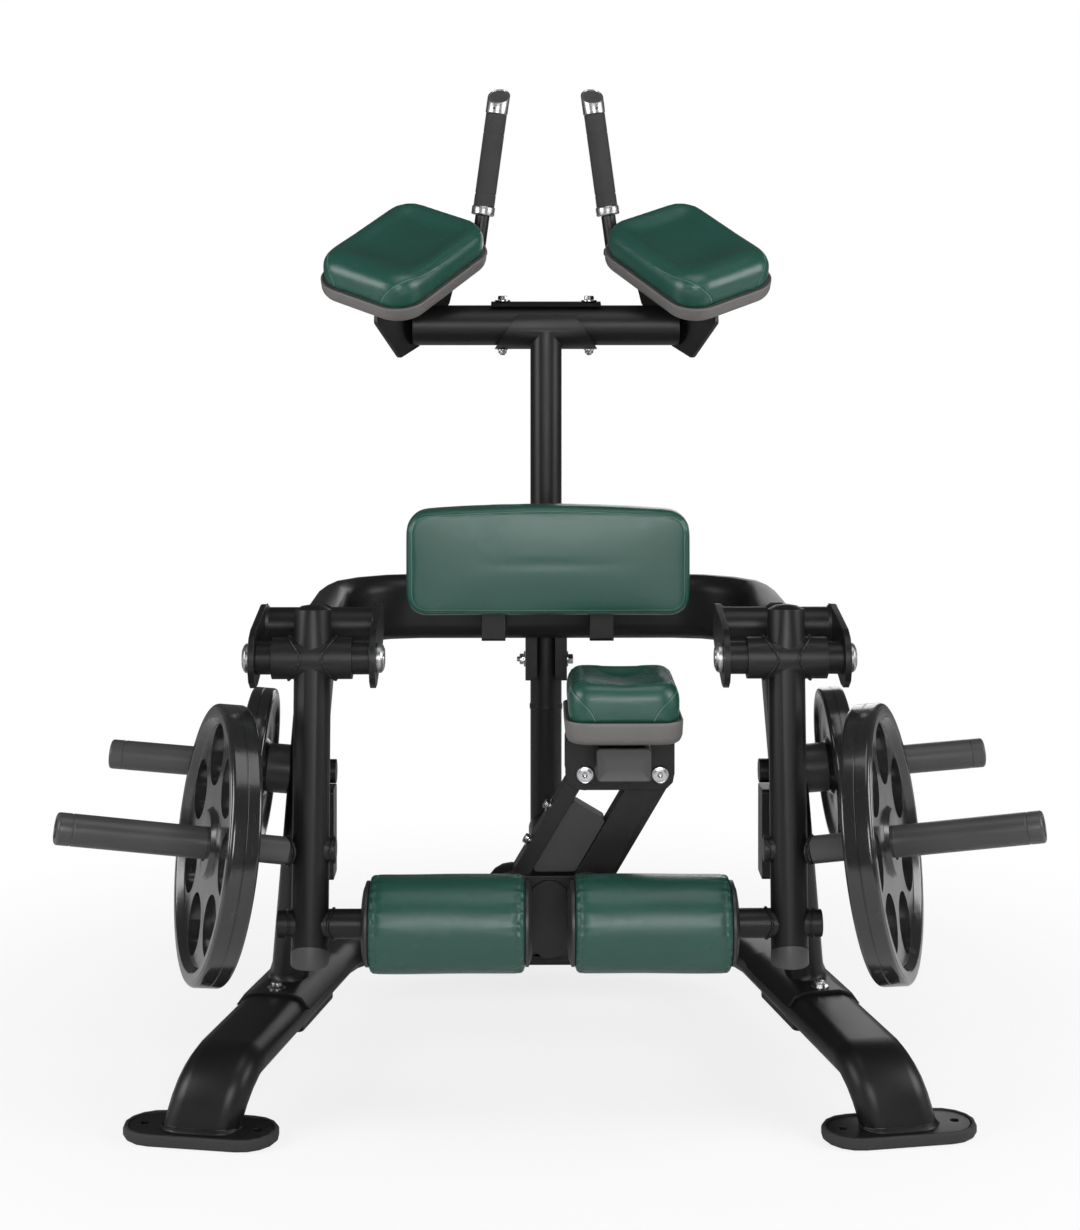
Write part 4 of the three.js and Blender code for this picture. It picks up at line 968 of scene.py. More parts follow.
@dataclass
class WeightPlate:
    """Cast plate with a rim, a web and, on the large one, seven hand holes."""

    size: PlateSize
    middle: Vector
    axis: Vector
    sides: int = 120
    smooth_angle: float = 30.0

    def build(self, name: str) -> bpy.types.Object:
        """Turned plate, bored and rounded.

        Args:
            name: the object's name.

        Returns:
            The plate.
        """
        face = self.size.face()
        back = [(r, -h) for r, h in reversed(face)]
        form = Form().turned([*face, *back, face[0]], self.middle, self.axis, self.sides)
        made = form.build(name, self.smooth_angle)
        if self.size.holes:
            self._hand_holes(made)
        return made

    def _hand_holes(self, made: bpy.types.Object) -> None:
        """Cuts the hand holes and rounds their edges.

        Args:
            made: the plate.
        """
        up = Vector((0, 0, 1))
        up = (up - self.axis * up.dot(self.axis)).normalized()
        cutter = Form()
        centres = []
        for angle in angles(self.size.holes):
            ring = up.copy()
            ring.rotate(Matrix.Rotation(math.radians(self.size.hole_turn) + angle, 3, self.axis))
            centre = self.middle + ring * self.size.hole_ring * MM
            centres.append(centre)
            low = centre - self.axis * self.size.width * MM
            tall = self.size.width * 2
            r = self.size.hole_radius
            cutter.turned([(0, 0), (r, 0), (r, tall), (0, tall)], low, self.axis, 56)
        tool = cutter.build("hand_hole_cutter")
        hollow = made.modifiers.new("holes", "BOOLEAN")
        hollow.operation = "DIFFERENCE"
        hollow.solver = "EXACT"
        hollow.object = tool
        applied(made)
        bpy.data.objects.remove(tool)
        self._round_holes(made, centres)

    def _round_holes(self, made: bpy.types.Object, centres: list[Vector]) -> None:
        """Rounds the rims of the hand holes.

        Args:
            made: the plate.
            centres: the middle of each hole.
        """
        work = bmesh.new()
        work.from_mesh(made.data)
        bmesh.ops.remove_doubles(work, verts=work.verts, dist=1e-6)
        bmesh.ops.dissolve_limit(
            work, angle_limit=math.radians(0.4), verts=work.verts, edges=work.edges, delimit={"NORMAL"}
        )
        reach = self.size.hole_radius * MM
        rims = []
        for edge in angled(work, self.smooth_angle):
            spots = [v.co for v in edge.verts]
            for centre in centres:
                across = []
                for spot in spots:
                    offset = spot - centre
                    flat = offset - self.axis * offset.dot(self.axis)
                    across.append(abs(flat.length - reach) < 0.0002)
                turned = abs((spots[1] - spots[0]).normalized().dot(self.axis)) < 0.6
                if all(across) and turned:
                    rims.append(edge)
        bevelled(work, rims, self.size.hole_edge, 3)
        bmesh.ops.triangulate(work, faces=[f for f in work.faces if len(f.verts) > 4])
        work.to_mesh(made.data)
        work.free()
        smoothed(made.data, self.smooth_angle)
        weighted(made)


@dataclass
class Horns:
    """Plate horns with their sleeves, and the plates that hang on them."""

    palette: Palette
    arm_x: float = -384.0
    lean: float = 5.5
    pivot_height: float = 733.0
    working_height: float = 425.0
    yaw: float = 18.0
    rise: float = 10.0
    hang: float = 2.2
    length: float = 408.0
    neck: float = 22.0
    neck_start: float = 40.0
    flange_start: float = 122.0
    flange: float = 10.0
    flange_radius: float = 46.0
    sleeve: float = 25.0
    storage: tuple[float, float, float] = (-407.0, 271.0, 491.0)
    storage_rise: float = 5.0
    storage_length: float = 356.0
    storage_boss: float = 42.0
    storage_boss_start: float = 36.0
    storage_boss_end: float = 80.5
    gap: float = 0.3
    smooth_angle: float = 35.0
    large: PlateSize = PlateSize(218, 49, 24, 24, 51, 40, 7, 7, 26.4, holes=7)
    small: PlateSize = PlateSize(136, 42, 18, 24, 46, 37, 6, 6, 25.5)

    def direction(self, rise: float, yaw: float) -> Vector:
        """Direction of a left horn.

        Args:
            rise: its rise in degrees.
            yaw: its turn to the front in degrees.

        Returns:
            The direction.
        """
        high, round_z = math.radians(rise), math.radians(yaw)
        flat = math.cos(high)
        return Vector((-flat * math.cos(round_z), -flat * math.sin(round_z), math.sin(high)))

    def arm_point(self, height: float) -> Vector:
        """Point on the left arm's axis at a height."""
        down = (self.pivot_height - height) * math.tan(math.radians(self.lean))
        return place(self.arm_x, -down, height)

    def _end(self, length: float) -> list[tuple[float, float]]:
        """Profile of a sleeve's capped end.

        Args:
            length: the horn's length.

        Returns:
            Radius and height of each point.
        """
        r = self.sleeve
        return [
            (r, length - 26), (r - 0.7, length - 25.2), (r - 0.7, length - 23.8), (r, length - 23),
            *round_corner((r - 5, length - 5), 5, 0, 90, 5),
            (r - 8, length), (r - 9.2, length - 1.2), (r - 9.2, length - 2.6), (r - 10.4, length - 3.2),
            (0, length - 3.2),
        ]

    def build(self) -> None:
        """Builds both sides."""
        axis = self.direction(self.rise, self.yaw)
        root = self.arm_point(self.working_height)
        flange_end = self.flange_start + self.flange
        form = Form().turned(
            [
                (0, self.neck_start), (self.neck, self.neck_start), (self.neck, self.flange_start - 2),
                (self.neck + 2, self.flange_start), (self.flange_radius - 1.5, self.flange_start),
                (self.flange_radius, self.flange_start + 1.5), (self.flange_radius, flange_end - 1.5),
                (self.flange_radius - 1.5, flange_end), (self.sleeve + 0.6, flange_end),
                (self.sleeve, flange_end + 0.6),
                *self._end(self.length),
            ],
            root,
            axis,
        )
        horn = form.build("left_working_horn_sleeve", self.smooth_angle)
        self._pair(horn, "working_horn_sleeve", "arm", "working_horn", self.palette.sleeve)

        plate_axis = self.direction(self.rise - self.hang, self.yaw)
        reach = self.flange_radius * math.sin(math.radians(self.hang))
        middle = root + axis * (flange_end + self.gap + self.large.hub_width / 2 + reach) * MM
        plate = WeightPlate(self.large, middle, plate_axis).build("left_large_plate")
        self._pair(plate, "large_plate", "working_plate", "working_plate", self.palette.enamel)

        rest_axis = self.direction(self.storage_rise, 0.0)
        rest = place(*self.storage)
        boss = self.storage_boss
        boss_end = self.storage_boss_end
        form = Form().turned(
            [
                (0, self.storage_boss_start), (boss, self.storage_boss_start), (boss, boss_end - 1.5),
                (boss - 1.5, boss_end), (self.sleeve + 0.6, boss_end), (self.sleeve, boss_end + 0.6),
                *self._end(self.storage_length),
            ],
            rest,
            rest_axis,
        )
        horn = form.build("left_storage_horn_sleeve", self.smooth_angle)
        self._pair(horn, "storage_horn_sleeve", "frame", "storage_horn", self.palette.sleeve)

        middle = rest + rest_axis * (boss_end + self.gap + self.small.hub_width / 2) * MM
        plate = WeightPlate(self.small, middle, rest_axis, 96).build("left_small_plate")
        self._pair(plate, "small_plate", "storage_plate", "storage_plate", self.palette.enamel)

    def _pair(
        self, left: bpy.types.Object, name: str, body: str, node: str,
        material: bpy.types.Material,
    ) -> None:
        """Dresses a left piece and its mirrored twin.

        Args:
            left: the left piece.
            name: name of the twin, without its side.
            body: body of each, without its side.
            node: node that each replaces, without its side.
            material: the finish.
        """
        right = mirrored(left, f"right_{name}")
        if left.modifiers:
            weighted(right)
        for side, piece in ((Side.LEFT, left), (Side.RIGHT, right)):
            ridden = body if body == "frame" else side.node(body)
            dressed(piece, ridden, material, [side.node(node)])


@dataclass
class ArmPlugs:
    """Slanted ends of the swing arms, each with its wedge-shaped plug."""

    palette: Palette
    horns: Horns
    radius: float = 30.0
    end: float = 279.5
    gap: float = 0.2
    length: float = 50.0
    rise: float = 5.0
    edge: float = 0.6
    front_wall: float = 37.0
    slant: float = 25.0
    foot_slant: float = 10.0
    lip: float = 0.45
    plug_start: float = -20.0
    plug_end: float = 70.0
    plug_gap: float = 0.3
    plug_edge: float = 1.6
    sides: int = 72
    smooth_angle: float = 35.0

    def build(self) -> None:
        """Builds the end of each arm and its plug."""
        tip = self.horns.arm_point(self.end)
        down = (self.horns.arm_point(self.end - 100.0) - tip).normalized()
        front = Vector((0, -1, 0))
        front = (front - down * front.dot(down)).normalized()
        r = self.radius
        top = tip + (front * r - down * self.rise) * MM
        foot = tip + (front * r + down * (self.front_wall - self.rise)) * MM
        over = self._tilted(down, front, self.slant)
        under = self._tilted(down, front, -self.foot_slant)
        start, stop = self.gap, self.length
        tube = Form().turned([(0, start), (r, start), (r, stop), (0, stop)], tip, down, self.sides)
        end = self._cut(tube, "left_arm_end", [(top, over)], self.edge)
        r += self.lip
        start, stop = self.plug_start, self.plug_end
        block = Form().turned([(0, start), (r, start), (r, stop), (0, stop)], tip, down, self.sides)
        planes = [(top + over * self.plug_gap * MM, -over), (foot, under)]
        plug = self._cut(block, "left_arm_plug", planes, self.plug_edge)
        for side in Side:
            body = side.node("arm")
            dressed(on_side(end, side), body, self.palette.paint)
            node = side.node("arm_end_plug")
            dressed(on_side(plug, side), body, self.palette.plug, [node])

    def _tilted(self, down: Vector, front: Vector, slant: float) -> Vector:
        """Direction of a cutting plane across the arm.

        Args:
            down: the arm's direction.
            front: direction to the arm's front.
            slant: the plane's slant in degrees.

        Returns:
            The direction.
        """
        angle = math.radians(slant)
        return (down * math.cos(angle) + front * math.sin(angle)).normalized()

    def _cut(
        self, form: Form, name: str, planes: Sequence[tuple[Vector, Vector]], width: float
    ) -> bpy.types.Object:
        """Cuts a round piece by planes and rounds the cut edges.

        Args:
            form: the uncut piece.
            name: the object's name.
            planes: point and direction of each plane.
            width: width of the rounded edges in millimetres.

        Returns:
            The piece.
        """
        made = form.build(name, self.smooth_angle)
        work = bmesh.new()
        work.from_mesh(made.data)
        for origin, normal in planes:
            bevelled(work, cut_off(work, origin, normal), width, 3)
        work.to_mesh(made.data)
        work.free()
        smoothed(made.data, self.smooth_angle)
        return made


# Upholstery

# Steps in each span of a smooth curve, and millimetres between a seam's points.
SPAN_STEPS = 24
SEAM_STEP = 1.6
# Millimetres: a tray's wall with the pad's play, how deep a pad sits in its tray, how far its sides draw
# in, and half the width of its innermost ring.
TRAY_WALL = 4.3
TRAY_SEAT = 3.7
PAD_DRAFT = 1.6
PAD_CORE = 9.0
# Turn that stands a pad up to face the front.
UPRIGHT = Matrix(((1, 0, 0), (0, 0, -1), (0, 1, 0))).to_4x4()


@dataclass(frozen=True)
class PadShape:
    """Rounded rectangle in its own frame, in millimetres."""

    half_x: float
    half_y: float
    corner: float
    frame: Matrix
    bow: float = 0.0
    run_steps: int = 14

    def ring(
        self, inset: float, height: float, steps: int, lift: Callable[[float, float], float]
    ) -> list[Vector]:
        """One level of the pad.

        Args:
            inset: how far it is drawn in.
            height: its height.
            steps: steps in a corner.
            lift: added height by place, each place as a share of the half sizes.

        Returns:
            The ring in metres.
        """
        half_x, half_y = self.half_x - inset, self.half_y - inset
        corner = min(max(self.corner - inset, self.corner * 0.25), half_x, half_y)
        made = []
        corners = [(1, 1), (-1, 1), (-1, -1), (1, -1)]
        for quarter, (sx, sy) in enumerate(corners):
            for i in range(steps + 1):
                angle = quarter * math.pi / 2 + math.pi / 2 * i / steps
                x = sx * (half_x - corner) + corner * math.cos(angle)
                y = sy * (half_y - corner) + corner * math.sin(angle)
                made.append((x, y))
        dense = []
        for i, (x, y) in enumerate(made):
            nx, ny = made[(i + 1) % len(made)]
            dense.append((x, y))
            extra = self.run_steps if (i + 1) % (steps + 1) == 0 else 0
            for k in range(extra):
                share = (k + 1) / (extra + 1)
                dense.append((x + (nx - x) * share, y + (ny - y) * share))
        return [self.point(x, y, height + lift(x / self.half_x, y / self.half_y)) for x, y in dense]

    def point(self, x: float, y: float, z: float) -> Vector:
        """Point of the pad's frame in metres.

        Args:
            x: place across the pad.
            y: place along the pad.
            z: height over its floor.

        Returns:
            The point.
        """
        if y > 0 and self.bow:
            y += self.bow * (1 - (x / self.half_x) ** 2) * min(1.0, y / self.half_y * 1.4)
        return self.frame @ (Vector((x, y, z)) * MM)

    def inside(self, wall: float, frame: Matrix) -> "PadShape":
        """Outline that fits inside this one.

        Args:
            wall: distance between the two.
            frame: the new outline's frame.

        Returns:
            The new outline.
        """
        return PadShape(self.half_x - wall, self.half_y - wall, self.corner - wall, frame)

    def route(self, spots: Iterable[tuple[float, float, float]], sign: int, height: float) -> list[Vector]:
        """Points of a seam's course.

        Args:
            spots: shares of the half width, the half length and the height.
            sign: side of the pad.
            height: the pad's height.

        Returns:
            The points in metres.
        """
        return [self.point(sign * u * self.half_x, v * self.half_y, t * height) for u, v, t in spots]


def still(u: float, v: float) -> float:
    """No lift."""
    return 0.0


def smooth_step(value: float, low: float, high: float) -> float:
    """Smooth step of a value from 0 at low to 1 at high."""
    share = min(max((value - low) / (high - low), 0.0), 1.0)
    return share * share * (3 - 2 * share)


class Sewing:
    """Seams and stitches laid on a finished cushion."""

    def __init__(self, palette: Palette, cushion: bpy.types.Object) -> None:
        """Keeps the cushion's surface."""
        self.palette = palette
        self.tree = BVHTree.FromObject(cushion, bpy.context.evaluated_depsgraph_get())

    @staticmethod
    def smooth(points: Sequence[Vector], spacing: float, closed: bool = False) -> list[Vector]:
        """Even points on a smooth curve.

        Args:
            points: points that the curve passes.
            spacing: millimetres between the new points.
            closed: whether it is a loop.

        Returns:
            The new points.
        """
        count = len(points)
        dense: list[Vector] = []
        spans = count if closed else count - 1
        for i in range(spans):
            a, b = points[i], points[(i + 1) % count]
            before = points[(i - 1) % count] if closed or i else a
            after = points[(i + 2) % count] if closed or i + 2 < count else b
            for k in range(SPAN_STEPS):
                t = k / SPAN_STEPS
                flow = (b - before) * t + (before * 2 - a * 5 + b * 4 - after) * t * t
                flow += (a * 3 - before - b * 3 + after) * t * t * t
                dense.append(a + flow * 0.5)
        dense.append((dense[0] if closed else points[-1]).copy())
        length = sum((b - a).length for a, b in zip(dense, dense[1:]))
        wanted = max(int(length / (spacing * MM)), 3)
        step = length / wanted
        made = [dense[0]]
        walked = 0.0
        for a, b in zip(dense, dense[1:]):
            run = (b - a).length
            while run and walked + run >= step * len(made) and len(made) < wanted:
                share = (step * len(made) - walked) / run
                made.append(a.lerp(b, share))
            walked += run
        if not closed:
            made.append(dense[-1])
        return made

    def settled(self, points: Sequence[Vector]) -> list[tuple[Vector, Vector]]:
        """Each point on the surface with the surface's normal there.

        Args:
            points: points near the surface.

        Returns:
            Place and normal for each point.
        """
        made = []
        for point in points:
            spot, normal, _, _ = self.tree.find_nearest(point)
            made.append((spot, normal))
        return made

    def seam(self, points: Sequence[Vector], closed: bool = False, radius: float = 0.75) -> Form:
        """Raised fold of leather along a curve.

        Args:
            points: the curve.
            closed: whether it is a loop.
            radius: of the fold, in millimetres.

        Returns:
            The fold.
        """
        laid = self.settled(self.smooth(points, SEAM_STEP, closed))
        path = [spot - normal * radius * 0.25 * MM for spot, normal in laid]
        return Form().tube(path, lambda i: radius * (1.0 + 0.1 * math.sin(i * 0.9)), 8, closed)

    def stitches(
        self, points: Sequence[Vector], offset: float, closed: bool = False, pitch: float = 4.4
    ) -> Form:
        """Row of stitches beside a seam.

        Args:
            points: the seam's curve.
            offset: millimetres to its left as seen from outside.
            closed: whether it is a loop.
            pitch: millimetres from stitch to stitch.

        Returns:
            The stitches.
        """
        laid = self.settled(self.smooth(points, pitch / 4, closed))
        form = Form()
        shifted = []
        for i, (spot, normal) in enumerate(laid):
            ahead = laid[(i + 1) % len(laid)][0] if closed or i + 1 < len(laid) else spot
            behind = laid[i - 1][0] if closed or i else spot
            side = normal.cross(ahead - behind).normalized()
            shifted.append(spot + side * offset * MM)
        rows = self.settled(shifted)
        for i in range(0, len(rows) - 3, 4):
            path = []
            for k, sunk in enumerate((0.5, -0.1, -0.1, 0.5)):
                spot, normal = rows[i + k]
                path.append(spot - normal * sunk * MM)
            path[3] = path[3].lerp(path[2], 0.25)
            form.tube(path, lambda k: (0.32, 0.46, 0.46, 0.32)[k], 6)
        return form

    def lay(self, name: str, seams: Sequence[Form], rows: Sequence[Form]) -> list[bpy.types.Object]:
        """Makes the seams and the rows of stitches as two pieces.

        Args:
            name: start of their names.
            seams: folds.
            rows: rows of stitches.

        Returns:
            The two pieces.
        """
        made = []
        kinds = (("seam", seams, self.palette.leather), ("stitching", rows, self.palette.thread))
        for part, forms, material in kinds:
            joined = Form()
            for form in forms:
                base = len(joined.points)
                joined.points.extend(form.points)
                joined.faces.extend(tuple(i + base for i in face) for face in form.faces)
            piece = joined.build(f"{name}_{part}", 60)
            piece.data.materials.append(material)
            made.append(piece)
        return made

    @staticmethod
    def carried(piece: bpy.types.Object, body: str) -> None:
        """Lets sewing ride with its cushion's body."""
        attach(piece, body)


@dataclass
class Cushion:
    """Moulded foam under leather, swollen by a short cloth simulation."""

    shape: PadShape
    levels: Sequence[tuple[float, float, float]]
    lift: Callable[[float, float], float]
    swell: float = 3.0
    voxel: float = 5.0
    corner_steps: int = 12
    pressure: float = 4.0
    stiffness: float = 30.0
    bending: float = 2.0
    frames: int = 20

    def base(self, name: str) -> bpy.types.Object:
        """Pad before it swells.

        Args:
            name: its name.

        Returns:
            The pad.
        """
        rings = []
        for inset, height, softness in self.levels:
            rings.append(self.shape.ring(inset, height, self.corner_steps, self._relief(softness)))
        return Form().rings(rings).build(name, 180)

    def _relief(self, share: float) -> Callable[[float, float], float]:
        """Share of the top's relief by place."""
        return lambda u, v: self.lift(u, v) * share

    def build(self, name: str) -> bpy.types.Object:
        """Pad with its leather skin.

        Args:
            name: its name.

        Returns:
            The pad.
        """
        made = self.base(name)
        remesh = made.modifiers.new("skin", "REMESH")
        remesh.mode = "VOXEL"
        remesh.voxel_size = self.voxel * MM
        applied(made)
        relax = made.modifiers.new("relax", "SMOOTH")
        relax.factor = 0.5
        relax.iterations = 6
        applied(made)
        self._swell(made)
        fine = made.modifiers.new("fine", "SUBSURF")
        fine.levels = 1
        fine.render_levels = 1
        applied(made)
        made.data.shade_smooth()
        return made

    def _swell(self, made: bpy.types.Object) -> None:
        """Lets the skin swell, and caps how far each point moves.

        Args:
            made: the piece.
        """
        rest = [v.co.copy() for v in made.data.vertices]
        cloth = made.modifiers.new("swell", "CLOTH")
        settings = cloth.settings
        settings.use_pressure = True
        settings.uniform_pressure_force = self.pressure
        settings.tension_stiffness = self.stiffness
        settings.compression_stiffness = self.stiffness
        settings.bending_stiffness = self.bending
        settings.effector_weights.gravity = 0.0
        cloth.point_cache.frame_start = 1
        cloth.point_cache.frame_end = self.frames
        scene = bpy.context.scene
        for frame in range(1, self.frames + 1):
            scene.frame_set(frame)
        applied(made)
        scene.frame_set(1)
        moves = [v.co - before for v, before in zip(made.data.vertices, rest)]
        furthest = max(move.length for move in moves)
        scale = min(1.0, self.swell * MM / furthest) if furthest else 0.0
        for vertex, before, move in zip(made.data.vertices, rest, moves):
            vertex.co = before + move * scale
        LOG.info("%s swells %.1f mm", made.name, furthest * scale / MM)


def tray_form(shape: PadShape, height: float) -> Form:
    """Tray with a rounded foot and a thin rim.

    Args:
        shape: its outline.
        height: its height in millimetres.

    Returns:
        The tray's form.
    """
    levels = [
        (16.0, 0.0), (9.5, 1.0), (6.0, 3.4), (3.2, 7.4), (1.2, 13.0), (0.3, height - 6.0),
        (0.0, height - 1.0), (0.5, height - 0.2), (1.2, height), (3.0, height), (3.8, height - 0.6),
        (4.0, height - 1.6), (4.0, height - 4.0),
    ]
    return Form().rings([shape.ring(inset, rise, 14, still) for inset, rise in levels])


def pad_levels(
    height: float, shoulder: float, middle: float, waist: float = 0.4
) -> list[tuple[float, float, float]]:
    """Levels of a moulded pad: a slight waist, round shoulders and a soft top.

    Args:
        height: the pad's height in millimetres.
        shoulder: width of its shoulders.
        middle: how far the innermost ring is drawn in.
        waist: share of the height where the shoulders start.

    Returns:
        Inset, height and share of the top's relief of each level.
    """
    levels = [(4.0, 0.0), (2.6, height * 0.08), (2.0, height * 0.2), (PAD_DRAFT, height * 0.32)]
    for i in range(11):
        angle = math.radians(i * 9)
        inset = PAD_DRAFT + shoulder * (1 - math.cos(angle))
        levels.append((inset, height * (waist + (1 - waist) * math.sin(angle))))
    last = PAD_DRAFT + shoulder
    levels += [(last + (middle - last) * i / 8, height) for i in range(1, 9)]
    return [(inset, rise, smooth_step(inset, shoulder * 0.45, shoulder * 2.0)) for inset, rise in levels]


@dataclass
class ElbowPads:
    """Dished elbow pads in their trays."""

    palette: Palette
    centre: tuple[float, float, float] = (-267.6, 588.0, 1382.0)
    across: tuple[float, float, float] = (0.8311, -0.4777, -0.2849)
    along: tuple[float, float, float] = (0.5561, 0.7047, 0.4406)
    half_x: float = 113.0
    half_y: float = 151.0
    corner: float = 59.0
    tray: float = 31.0
    height: float = 56.0
    crown: float = 1.5
    shoulder: float = 27.0
    waist: float = 0.5
    dish: float = 16.0
    lip: float = 9.0
    seam_route: tuple[tuple[float, float, float], ...] = (
        (0.30, 1.04, 0.30), (0.62, 1.0, 0.62), (0.86, 0.86, 0.82), (0.945, 0.6, 0.86),
        (0.955, 0.2, 0.86), (0.95, -0.2, 0.88), (0.9, -0.55, 0.94), (0.76, -0.8, 0.9),
        (0.6, -0.93, 0.66), (0.5, -0.99, 0.38), (0.47, -1.0, 0.16),
    )
    sewn_from: int = 5

    def frame(self, height: float) -> Matrix:
        """Frame of the left pad at a height over its tray.

        Args:
            height: height over the tray's floor.

        Returns:
            The frame as a matrix.
        """
        across = Vector(self.across).normalized()
        along = Vector(self.along).normalized()
        up = across.cross(along).normalized()
        right = along.cross(up).normalized()
        turn = Matrix((right, along, up)).transposed().to_4x4()
        spot = place(*self.centre) + up * height * MM
        return Matrix.Translation(spot) @ turn

    def hollow(self, u: float, v: float) -> float:
        """Height of the dish and of the lip before it.

        Args:
            u: share of the half width.
            v: share of the half length.

        Returns:
            The height.
        """
        rim = self.lip * smooth_step(-v, 0.1, 0.72) * (1 - 0.35 * u * u)
        along = 1 - smooth_step(-v, 0.3, 0.8) * 0.85 - smooth_step(v, 0.55, 1.0) * 0.8
        return rim - self.dish * (1 - min(u * u, 1)) ** 0.8 * along - 1.0

    def build(self) -> None:
        """Builds the left pad and its tray, and mirrors both."""
        outer = PadShape(self.half_x, self.half_y, self.corner, self.frame(-self.tray))
        tray = tray_form(outer, self.tray).build("left_elbow_tray_shell", 50)
        inner = outer.inside(TRAY_WALL, self.frame(-TRAY_SEAT))
        levels = pad_levels(self.height + self.crown, self.shoulder, self.half_x - PAD_CORE, self.waist)
        pad = Cushion(inner, levels, self.hollow, 2.5).build("left_elbow_leather")
        sewing = Sewing(self.palette, pad)
        pieces = sewing.lay("left_elbow", *self._seams(sewing, inner))
        for side in Side:
            shell = on_side(tray, side)
            dressed(shell, "frame", self.palette.plastic, [side.node("elbow_tray")])
            skin = on_side(pad, side)
            dressed(skin, "frame", self.palette.leather, [side.node("elbow_cushion")])
            for piece in pieces:
                sewing.carried(on_side(piece, side), "frame")

    def _seams(self, sewing: Sewing, shape: PadShape) -> tuple[list[Form], list[Form]]:
        """Seams along both sides that curl down over the front corners.

        Args:
            sewing: where the seams lie.
            shape: the pad's outline.

        Returns:
            Seams and rows of stitches.
        """
        seams, rows = [], []
        for sign in (-1, 1):
            points = shape.route(self.seam_route, sign, self.height)
            seams.append(sewing.seam(points, radius=0.9))
            rows.append(sewing.stitches(points[self.sewn_from :], sign * 3.4, pitch=4.0))
        return seams, rows


@dataclass
class KneePad:
    """Knee pad with a channel from front to back, in its tray."""

    palette: Palette
    centre: tuple[float, float] = (120.0, 65.0)
    half_x: float = 96.0
    half_y: float = 116.0
    corner: float = 42.0
    bottom: float = 599.0
    rim: float = 37.0
    top: float = 698.0
    channel: float = 18.0
    shoulder: float = 24.0
    waist: float = 0.55
    seam_route: tuple[tuple[float, float, float], ...] = (
        (0.4, 1.0, 0.2), (0.62, 0.98, 0.6), (0.84, 0.85, 0.86), (0.93, 0.5, 0.88), (0.945, 0.0, 0.88),
        (0.935, -0.4, 0.84), (0.86, -0.74, 0.76), (0.7, -0.93, 0.55), (0.56, -0.99, 0.32),
        (0.48, -1.0, 0.1),
    )
    sewn_from: int = 5
    tube_front: float = -20.0
    tube_middle: float = 563.0
    tube_half_x: float = 43.5
    tube_half_z: float = 26.0
    tube_corner: float = 6.0

    def saddle(self, u: float, v: float) -> float:
        """Depth of the channel across the pad, with a lip at the front.

        Args:
            u: share of the half width.
            v: share of the half length.

        Returns:
            The height.
        """
        deep = self.channel * math.cos(min(abs(u), 1) * math.pi / 2) ** 2
        front = 5.0 * math.exp(-(((v + 0.42) / 0.2) ** 2))
        return -deep - front * (1 - 0.3 * u * u) + 3.5 * smooth_step(-v, 0.55, 0.8) * (1 - u * u)

    def build(self) -> None:
        """Builds the tray, the pad and its seams."""
        x, y = self.centre
        outer = PadShape(self.half_x, self.half_y, self.corner, Matrix.Translation(place(x, y, self.bottom)))
        tray = tray_form(outer, self.rim).build("knee_tray_shell", 50)
        dressed(tray, "knee_pad", self.palette.plastic, ["knee_tray"])
        self._tube_cap()
        floor = self.bottom + self.rim - TRAY_SEAT
        height = self.top - floor
        inner = outer.inside(TRAY_WALL, Matrix.Translation(place(x, y, floor)))
        levels = pad_levels(height, self.shoulder, self.half_x - PAD_CORE, self.waist)
        pad = Cushion(inner, levels, self.saddle, 2.0).build("knee_leather")
        dressed(pad, "knee_pad", self.palette.leather, ["knee_cushion"])
        sewing = Sewing(self.palette, pad)
        seams, rows = [], []
        for sign in (-1, 1):
            points = inner.route(self.seam_route, sign, height)
            seams.append(sewing.seam(points, radius=0.8))
            rows.append(sewing.stitches(points[self.sewn_from :], sign * 3.2, pitch=3.8))
        for piece in sewing.lay("knee", seams, rows):
            sewing.carried(piece, "knee_pad")

    def _tube_cap(self) -> None:
        """Ribbed plastic cap in the front end of the support tube."""
        x, _ = self.centre
        frame = Matrix.Translation(place(x, self.tube_front, self.tube_middle)) @ UPRIGHT
        shape = PadShape(self.tube_half_x, self.tube_half_z, self.tube_corner, frame)
        levels = [(0.6, 0.2), (0.0, 0.8), (0.0, 2.2), (0.8, 3.0), (2.4, 3.1), (3.4, 2.5), (20.0, 2.5)]
        form = Form().rings([shape.ring(inset, rise, 8, still) for inset, rise in levels])
        cap = form.build("carrier_tube_cap", 35)
        dressed(cap, "knee_pad", self.palette.plug)


